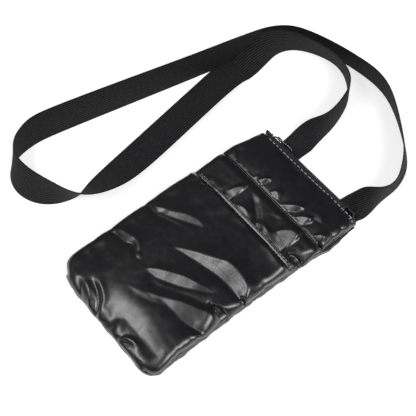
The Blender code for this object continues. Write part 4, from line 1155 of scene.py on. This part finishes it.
def tab_mesh(far, side):
    """A soft square section carried along the zip's line. It is drawn in at the row of
    stitches near the zip, and closes in a round fold at its far end."""
    share = np.linspace(0.0, 1.0, 25)
    close = (1.0 - np.abs(2 * share - 1) ** 9) ** (1 / 3)
    waist = 1.0 - 0.10 * np.exp(-((share - 0.28) / 0.06) ** 2)
    scale = np.maximum(close, 0.02) * waist
    turn = np.linspace(0.0, 2 * np.pi, 24, endpoint=False)
    round_y, round_z = squared(np.cos(turn), 2 / TAB_ROUND), squared(np.sin(turn), 2 / TAB_ROUND)
    middle = sum(TAB_LEVELS) / 2
    points = np.empty((len(share), len(turn), 3))
    points[:, :, 0] = side * (TAB_NEAR + (far - TAB_NEAR) * share)[:, None]
    points[:, :, 1] = middle + (TAB_LEVELS[1] - middle) * scale[:, None] * round_y[None, :]
    points[:, :, 2] = ZIP_HEIGHT + TAB_HEIGHT / 2 * scale[:, None] * round_z[None, :]
    return tube_mesh(points, flip=side < 0)


tab_ribbon = ribbed_tape_material("polyester_grosgrain_tab", 0.9, "0c0c0e", "222225", 0.55)
for which, side in (("left", -1), ("right", 1)):
    add_piece("zip_end_fold_" + which, tab_mesh(TAB_FAR[which], side), tab_ribbon, "pouch",
              ["zip_end_tab_" + which])


# Slider, puller and stops: die cast zinc, plated with black nickel. The slider rides on the
# coils and the puller swings on its bridge; the stops are pressed on the ends of the coils.
def black_nickel_material():
    """Black nickel plate on tumbled zinc: a grey metal, bright and faintly mottled."""
    material, tree, shader = new_material("black_nickel_plated_zinc", {"Metallic": 1.0})
    place = add_node(tree, "TexCoord").outputs["Object"]
    mottle_size, scratch_size = 0.0025, 0.0006
    mottle = add_node(tree, "TexNoise", {"Vector": place, "Scale": 1 / mottle_size,
                                         "Detail": 3.0})
    scratch = add_node(tree, "TexNoise", {"Vector": place, "Scale": 1 / scratch_size,
                                          "Detail": 2.0})
    bump = add_node(tree, "Bump", {"Height": scratch, "Strength": 0.12, "Distance": 0.0001})
    rough = add_node(tree, "MapRange", {0: mottle, 3: 0.18, 4: 0.32})
    finish(shader, mottle, "78787d", "aeaeb4", bump, rough)
    return material


black_nickel = black_nickel_material()
for node in ("zip_top_stop_front", "zip_top_stop_back", "zip_bottom_stop"):
    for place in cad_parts[node].material_slots:
        place.material = black_nickel

SLIDER_PLACE = -37.8         # its middle, with the zip shut
SLIDER_NOSE = 4.8            # half its length
SLIDER_HALF_WIDTH = 3.3
WING_LEVELS = {"outer": (101.5, 102.4), "inner": (97.5, 98.4)}
WING_LIP = 99.75             # the outer wing's edges turn down to here, round the coils
POST_LEVELS = (97.9, 99.0, 100.5, 101.9)
BRIDGE_HALF = 2.25
BRIDGE_TOP = 104.3
PULLER_LENGTH = 15.0
PULLER_HALF = 2.15
PULLER_WINDOW = 6.0
PULLER_LEVEL = 103.2
PULLER_THICKNESS = 0.92


def swept(section, path, across, closed=False):
    """Points of a section, given across and along its second way, carried along a path."""
    way = np.gradient(path, axis=0)
    if closed:
        way = np.roll(path, -1, axis=0) - np.roll(path, 1, axis=0)
    across = np.broadcast_to(np.array(across, dtype=float), path.shape)
    second = np.cross(unit(way), across)
    return (path[:, None, :] + section[None, :, 0, None] * across[:, None, :]
            + section[None, :, 1, None] * second[:, None, :])


def soft_box_section(width, height, corner=4.0, count=20):
    """A rectangle with soft corners, squarer for a larger corner."""
    turn = np.linspace(0.0, 2 * np.pi, count, endpoint=False)
    return np.column_stack((width / 2 * squared(np.cos(turn), 2 / corner),
                            height / 2 * squared(np.sin(turn), 2 / corner)))


def joined_mesh(shells):
    """One mesh of several closed shells, each a grid of points that is closed round its
    columns and, for a ring, round its rows as well."""
    points, quads, caps, start = [], [], [], 0
    for grid, ring in shells:
        rows, columns = grid.shape[:2]
        faces = grid_quads(rows, columns, True)
        if ring:
            last = np.arange(columns) + (rows - 1) * columns
            first = np.arange(columns)
            faces = np.vstack((faces, np.column_stack((last, np.roll(last, -1),
                                                       np.roll(first, -1), first))))
        else:
            caps += [start + np.arange(columns)[::-1],
                     start + np.arange((rows - 1) * columns, rows * columns)]
        points.append(grid.reshape(-1, 3))
        quads.append(faces + start)
        start += rows * columns
    mesh = make_mesh(np.concatenate(points), np.concatenate(quads), caps)
    work = bmesh.new()
    work.from_mesh(mesh)
    bmesh.ops.recalc_face_normals(work, faces=work.faces)
    work.to_mesh(mesh)
    work.free()
    return mesh


def slider_mesh():
    """The outer wing with its turned edges as one curved channel, the flat inner wing, the
    post between their noses, and the bridge that holds the puller."""
    along = np.linspace(-1.0, 1.0, 33)
    half = SLIDER_HALF_WIDTH * (1 - 0.28 * ease((along - 0.2) / 0.8)
                                - 0.55 * ease((-along - 0.35) / 0.65) ** 2)
    tip = np.sqrt(np.clip(1 - np.abs(along) ** 10, 0.003, 1))
    top, bottom = WING_LEVELS["outer"][1], WING_LIP
    turn = np.linspace(0.0, np.pi, 17)
    outer = np.column_stack((-squared(np.cos(turn), 0.45),
                             bottom + (top - bottom) * squared(np.sin(turn), 0.45)))
    inner = np.column_stack((outer[::-1, 0] * 0.80, bottom + (outer[::-1, 1] - bottom) * 0.66))
    channel = np.vstack((outer, inner))
    wing = np.empty((len(along), len(channel), 3))
    wing[:, :, 0] = (SLIDER_PLACE + SLIDER_NOSE * along)[:, None]
    level = (top + WING_LEVELS["outer"][0]) / 2
    wing[:, :, 1] = level + (channel[None, :, 1] - level) * (0.35 + 0.65 * tip[:, None])
    wing[:, :, 2] = ZIP_HEIGHT + half[:, None] * tip[:, None] * channel[None, :, 0]
    plate = soft_box_section(2.0, 1.0, 5.0)
    low, high = WING_LEVELS["inner"]
    inner_wing = np.empty((len(along), len(plate), 3))
    inner_wing[:, :, 0] = (SLIDER_PLACE + SLIDER_NOSE * along)[:, None]
    inner_wing[:, :, 1] = (low + high) / 2 + (high - low) * plate[None, :, 1] * tip[:, None]
    inner_wing[:, :, 2] = ZIP_HEIGHT + half[:, None] * tip[:, None] * plate[None, :, 0]
    post_path = np.array([(SLIDER_PLACE, y, ZIP_HEIGHT) for y in POST_LEVELS])
    post = swept(soft_box_section(1.8, 0.6), post_path, (1.0, 0.0, 0.0))
    bend = np.linspace(0.0, np.pi / 2, 7)
    corner = np.column_stack((np.cos(bend), np.sin(bend)))
    crown = np.vstack(((BRIDGE_HALF, POST_LEVELS[-1]),
                       np.column_stack((BRIDGE_HALF - 1 + corner[:, 0],
                                        BRIDGE_TOP - 1 + corner[:, 1]))))
    crown = np.vstack((crown, crown[::-1] * (-1, 1)))
    path = np.column_stack((SLIDER_PLACE + crown[:, 0], crown[:, 1],
                            np.full(len(crown), ZIP_HEIGHT)))
    bridge = swept(soft_box_section(1.9, 0.66, 3.0), path, (0.0, 0.0, 1.0))
    return joined_mesh([(wing, False), (inner_wing, False), (post, False), (bridge, False)])


def puller_mesh():
    """A ring round the window that the bridge passes through, and a flat tab with a round
    end, thinner towards its tip."""
    turn = np.linspace(0.0, 2 * np.pi, 40, endpoint=False)
    length = PULLER_WINDOW / 2 + 0.1
    ring_path = np.column_stack((
        SLIDER_PLACE + length * (1 + squared(np.cos(turn), 0.35)) - 0.05,
        np.full(len(turn), PULLER_LEVEL),
        ZIP_HEIGHT + (PULLER_HALF - 0.5) * squared(np.sin(turn), 0.35)))
    ring = swept(soft_box_section(0.9, 0.9, 2.6, 10), ring_path, (0.0, 1.0, 0.0), True)
    share = np.linspace(0.0, 1.0, 24)
    place = PULLER_WINDOW - 0.1 + (PULLER_LENGTH - PULLER_WINDOW) * share
    close = np.sqrt(np.clip(1 - (np.clip(share - 0.72, 0, 1) / 0.28) ** 2, 0.004, 1))
    close *= np.sqrt(np.clip(1 - (np.clip(0.06 - share, 0, 1) / 0.061) ** 2, 0.01, 1))
    plate = soft_box_section(2.0, 1.0, 3.4)
    tab = np.empty((len(share), len(plate), 3))
    tab[:, :, 0] = (SLIDER_PLACE + place)[:, None]
    tab[:, :, 1] = PULLER_LEVEL + PULLER_THICKNESS * plate[None, :, 1] * (0.4 + 0.6 * close[:, None])
    tab[:, :, 2] = ZIP_HEIGHT + PULLER_HALF * plate[None, :, 0] * close[:, None]
    return joined_mesh([(ring, True), (tab, False)])


add_piece("slider_casting", slider_mesh(), black_nickel, "slider", ["slider_body"])
add_piece("puller_tab", puller_mesh(), black_nickel, "puller", ["zip_puller"])

# Stitching: twisted dark polyester thread in plain lockstitch, coloured light grey as a painted
# highlight of its gloss. Each stitch is a short rod that lies on the cloth and dips into it at both
# ends.
THREAD_RADIUS = 0.3
THREAD_LIFT = 0.12           # its middle above the cloth


def on_skin(grid, places):
    """Heights of a pad's skin at places across it, each taken at the nearest grid point."""
    skin = grid.reshape(-1, 3)
    away = ((places[:, None, :2] - skin[None, :, :2]) ** 2).sum(axis=2)
    return skin[np.argmin(away, axis=1), 2]


def stitch_mesh(line, pitch, length, radius):
    """Rods with rounded ends, one to each pitch along a line, each turned to the line's way
    at its own middle."""
    along = lengths_along(line)
    middles = np.arange(pitch / 2, along[-1], pitch)
    centres = resample(line, along, middles)
    ways = unit(resample(line, along, middles + 0.2) - resample(line, along, middles - 0.2))
    sides = unit(np.cross((0.0, 0.0, 1.0), ways))
    tops = np.cross(ways, sides)
    steps = np.array((-1.0, -0.88, -0.5, 0.5, 0.88, 1.0)) * length / 2
    width = np.array((0.3, 0.75, 1.0, 1.0, 0.75, 0.3)) * radius
    sink = np.array((0.9, 0.45, 0.0, 0.0, 0.45, 0.9)) * radius
    turn = np.linspace(0.0, 2 * np.pi, 6, endpoint=False)
    ring = (np.cos(turn)[None, :, None] * sides[:, None, :]
            + np.sin(turn)[None, :, None] * tops[:, None, :])
    points = (centres[:, None, None, :] + steps[None, :, None, None] * ways[:, None, None, :]
              - sink[None, :, None, None] * tops[:, None, None, :]
              + width[None, :, None, None] * ring[:, None, :, :])
    size = len(steps) * len(turn)
    starts = np.arange(len(centres)) * size
    quads = (grid_quads(len(steps), len(turn), True)[None, :, :]
             + starts[:, None, None]).reshape(-1, 4)
    near, far = np.arange(len(turn))[::-1], np.arange(size - len(turn), size)
    caps = [*(starts[:, None] + near), *(starts[:, None] + far)]
    return make_mesh(points, quads, caps)


# Polyester sewing thread, two ply and bonded: a soft gloss, mottled by its twist. The thread
# is dark; its light grey colour is a painted highlight that stands in for the light its gloss
# catches.
def thread_material():
    material, tree, shader = new_material("bonded_polyester_thread", {"Roughness": 0.3,
                                                                      "Sheen Weight": 0.2})
    place = add_node(tree, "TexCoord").outputs["Object"]
    twist_size = 0.0007
    twist = add_node(tree, "TexNoise", {"Vector": place, "Scale": 1 / twist_size,
                                        "Detail": 2.0, "Distortion": 1.0})
    bump = add_node(tree, "Bump", {"Height": twist, "Strength": 0.5, "Distance": 0.0002})
    # The light grey colours are a painted highlight: they stand in for the gloss along each stitch
    # of a dark thread.
    finish(shader, twist, "6a6a6e", "b2b2b6", bump)
    return material


thread = thread_material()


def row_on(grid, places, lift=THREAD_LIFT):
    """A row of stitches' line: places across a pad, shaped as it is, at its skin's height."""
    x, y = shaped(*catmull_rom(np.asarray(places, dtype=float), 24).T)
    flat = np.column_stack((x, y))
    line = np.column_stack((flat, on_skin(grid, flat) + lift))
    return np.column_stack((line[:, :2], smooth_rows(line[:, 2:], 3.0)))


def level_row(reach, y):
    """Three places of a row straight across the pouch."""
    return (-reach, y), (0, y), (reach, y)


HEM_REACH = 51.0
for name, node, line, pitch, length, radius in (
        ("quilt_row", "quilt_stitch",
         row_on(front_upper, level_row(51.5, QUILT_SEAM), -0.35), 3.4, 2.4, THREAD_RADIUS),
        ("zip_row", "zip_topstitch",
         row_on(front_upper, ((-47, 94.6), (0, 94.6), (48, 94.6), (51.5, 93.8), (53, 91.5))),
         4.2, 3.1, 0.42),
        ("hem_row_upper", "hem_stitch_upper",
         row_on(hem_upper, level_row(HEM_REACH, HEM_ROWS[1] - HEM_SAG), -0.12), 3.2, 2.3,
         THREAD_RADIUS),
        ("hem_row_lower", "hem_stitch_lower",
         row_on(hem_upper, level_row(HEM_REACH, HEM_ROWS[0] - HEM_SAG), -0.12), 3.2, 2.3,
         THREAD_RADIUS)):
    add_piece(name, stitch_mesh(line, pitch, length, radius), thread, "pouch", [node])

binding_row = edge_line(BINDING_WIDTH / 2 + 0.3, 0.8)
binding_row = np.column_stack((binding_row, np.full(len(binding_row), BINDING_HIGH - 0.02)))
add_piece("binding_row", stitch_mesh(binding_row, 3.0, 2.1, 0.26), thread, "pouch",
          ["binding_stitch"])

STRAP_ROWS = (100.0, 100.9, 101.8)
STRAP_ROW_HALF = 9.6
for which, end in (("right", 0), ("left", -1)):
    row = np.array([(strap_middle[end, 0] + way * (-1) ** k * STRAP_ROW_HALF, y, 0.0)
                    for k, y in enumerate(STRAP_ROWS) for way in (-1, 1)])
    near = strap_middle[:12] if end == 0 else strap_middle[-12:][::-1]
    row[:, 2] = np.interp(row[:, 1], near[:, 1], near[:, 2]) + STRAP_THICKNESS / 2 + THREAD_LIFT
    add_piece("strap_rows_" + which, stitch_mesh(row, 2.9, 2.2, THREAD_RADIUS), thread, "pouch",
              ["strap_stitch_" + which])

# Table and light: a white table top before a white backdrop, a softbox to the left and a
# wider one to the right, in a dim studio.
def seen_directly(tree):
    """1 for what the camera sees, by itself or in a reflection or through glass."""
    path = add_node(tree, "LightPath")
    seen = add_node(tree, "Math", {0: path.outputs["Is Camera Ray"],
                                   1: path.outputs["Is Glossy Ray"]}, operation="ADD")
    return add_node(tree, "Math", {0: seen, 1: path.outputs["Is Transmission Ray"]},
                    operation="ADD", use_clamp=True)


def table_material():
    """White paint that also glows a little for the camera, so that it shows evenly white."""
    material = bpy.data.materials.new("white_painted_table")
    material.use_nodes = True
    tree = material.node_tree
    tree.nodes.clear()
    output = add_node(tree, "OutputMaterial")
    paint = add_node(tree, "BsdfDiffuse", {"Color": linear("f0f0f0")})
    glow = add_node(tree, "Math", {0: seen_directly(tree), 1: 0.5}, operation="MULTIPLY")
    light = add_node(tree, "Emission", {"Strength": glow})
    both = add_node(tree, "AddShader", {0: paint, 1: light})
    tree.links.new(both.outputs[0], output.inputs["Surface"])
    return material


TABLE_HALF = 700.0
table_mesh = make_mesh([(-TABLE_HALF, -TABLE_HALF, 0), (TABLE_HALF, -TABLE_HALF, 0),
                        (TABLE_HALF, TABLE_HALF, 0), (-TABLE_HALF, TABLE_HALF, 0)],
                       [(0, 1, 2, 3)])
table_top = bpy.data.objects.new("table_top", table_mesh)
bpy.context.scene.collection.objects.link(table_top)
table_mesh.materials.append(table_material())


def softbox(name, direction, distance, long_way, length, width, radiance):
    """A rectangular lamp that faces the pouch, set by the way it lies, the way that its long
    side runs, and the brightness of its face."""
    lamp = bpy.data.lights.new(name, "AREA")
    lamp.shape = "RECTANGLE"
    lamp.size, lamp.size_y = length, width
    lamp.energy = radiance * math.pi * length * width
    thing = bpy.data.objects.new(name, lamp)
    way = Vector(direction).normalized()
    first = (Vector(long_way) - way * way.dot(Vector(long_way))).normalized()
    thing.location = way * distance
    thing.rotation_euler = Matrix((first, way.cross(first), way)).transposed().to_euler()
    bpy.context.scene.collection.objects.link(thing)


LEFT_WAY = (-0.22, -0.46, 0.86)
RIGHT_WAY = (0.64, 0.08, 0.735)
softbox("left_softbox", LEFT_WAY, 1.3, (0.90, -0.43, 0.0), 0.80, 0.30, 7.6)
softbox("right_softbox", RIGHT_WAY, 1.4, (0.0, 1.0, 0.0), 0.85, 0.40, 10.0)

# The room is dim, and lighter round each lamp, where its light spills on the walls. The
# backdrop reaches a little above the horizon.
ROOM_LEVEL = 0.045
WALL_WAY = (-0.78, 0.28, 0.56)
BACKDROP_TOP = (0.02, 0.12)
world = bpy.data.worlds.new("studio")
bpy.context.scene.world = world
world.use_nodes = True
room = world.node_tree
room.nodes.clear()
room_output = add_node(room, "OutputWorld")
way_seen = add_node(room, "TexCoord").outputs["Generated"]
level = ROOM_LEVEL
for way, spread, strength in ((LEFT_WAY, 0.79, 1.0), (RIGHT_WAY, 0.86, 1.0),
                              (WALL_WAY, 0.62, 0.07)):
    toward = add_node(room, "VectorMath", {0: way_seen, 1: tuple(Vector(way).normalized())},
                      operation="DOT_PRODUCT")
    glow = add_node(room, "MapRange", {0: toward.outputs["Value"], 1: spread, 2: 1.0, 3: 0.0,
                                       4: strength}, interpolation_type="SMOOTHSTEP")
    level = add_node(room, "Math", {0: glow, 1: level}, operation="ADD")
upward = add_node(room, "SeparateXYZ", {0: way_seen}).outputs["Z"]
wall = add_node(room, "MapRange", {0: upward, 1: BACKDROP_TOP[0], 2: BACKDROP_TOP[1], 3: 1.0,
                                   4: 0.0}, interpolation_type="SMOOTHSTEP")
white = add_node(room, "Math", {0: wall, 1: seen_directly(room)}, operation="MULTIPLY")
shown = add_node(room, "Mix", {0: white, 2: level, 3: 1.0}, data_type="FLOAT")
backdrop = add_node(room, "Background", {"Color": linear("ffffff"), "Strength": shown})
room.links.new(backdrop.outputs[0], room_output.inputs["Surface"])

bpy.context.scene.view_settings.view_transform = "Standard"
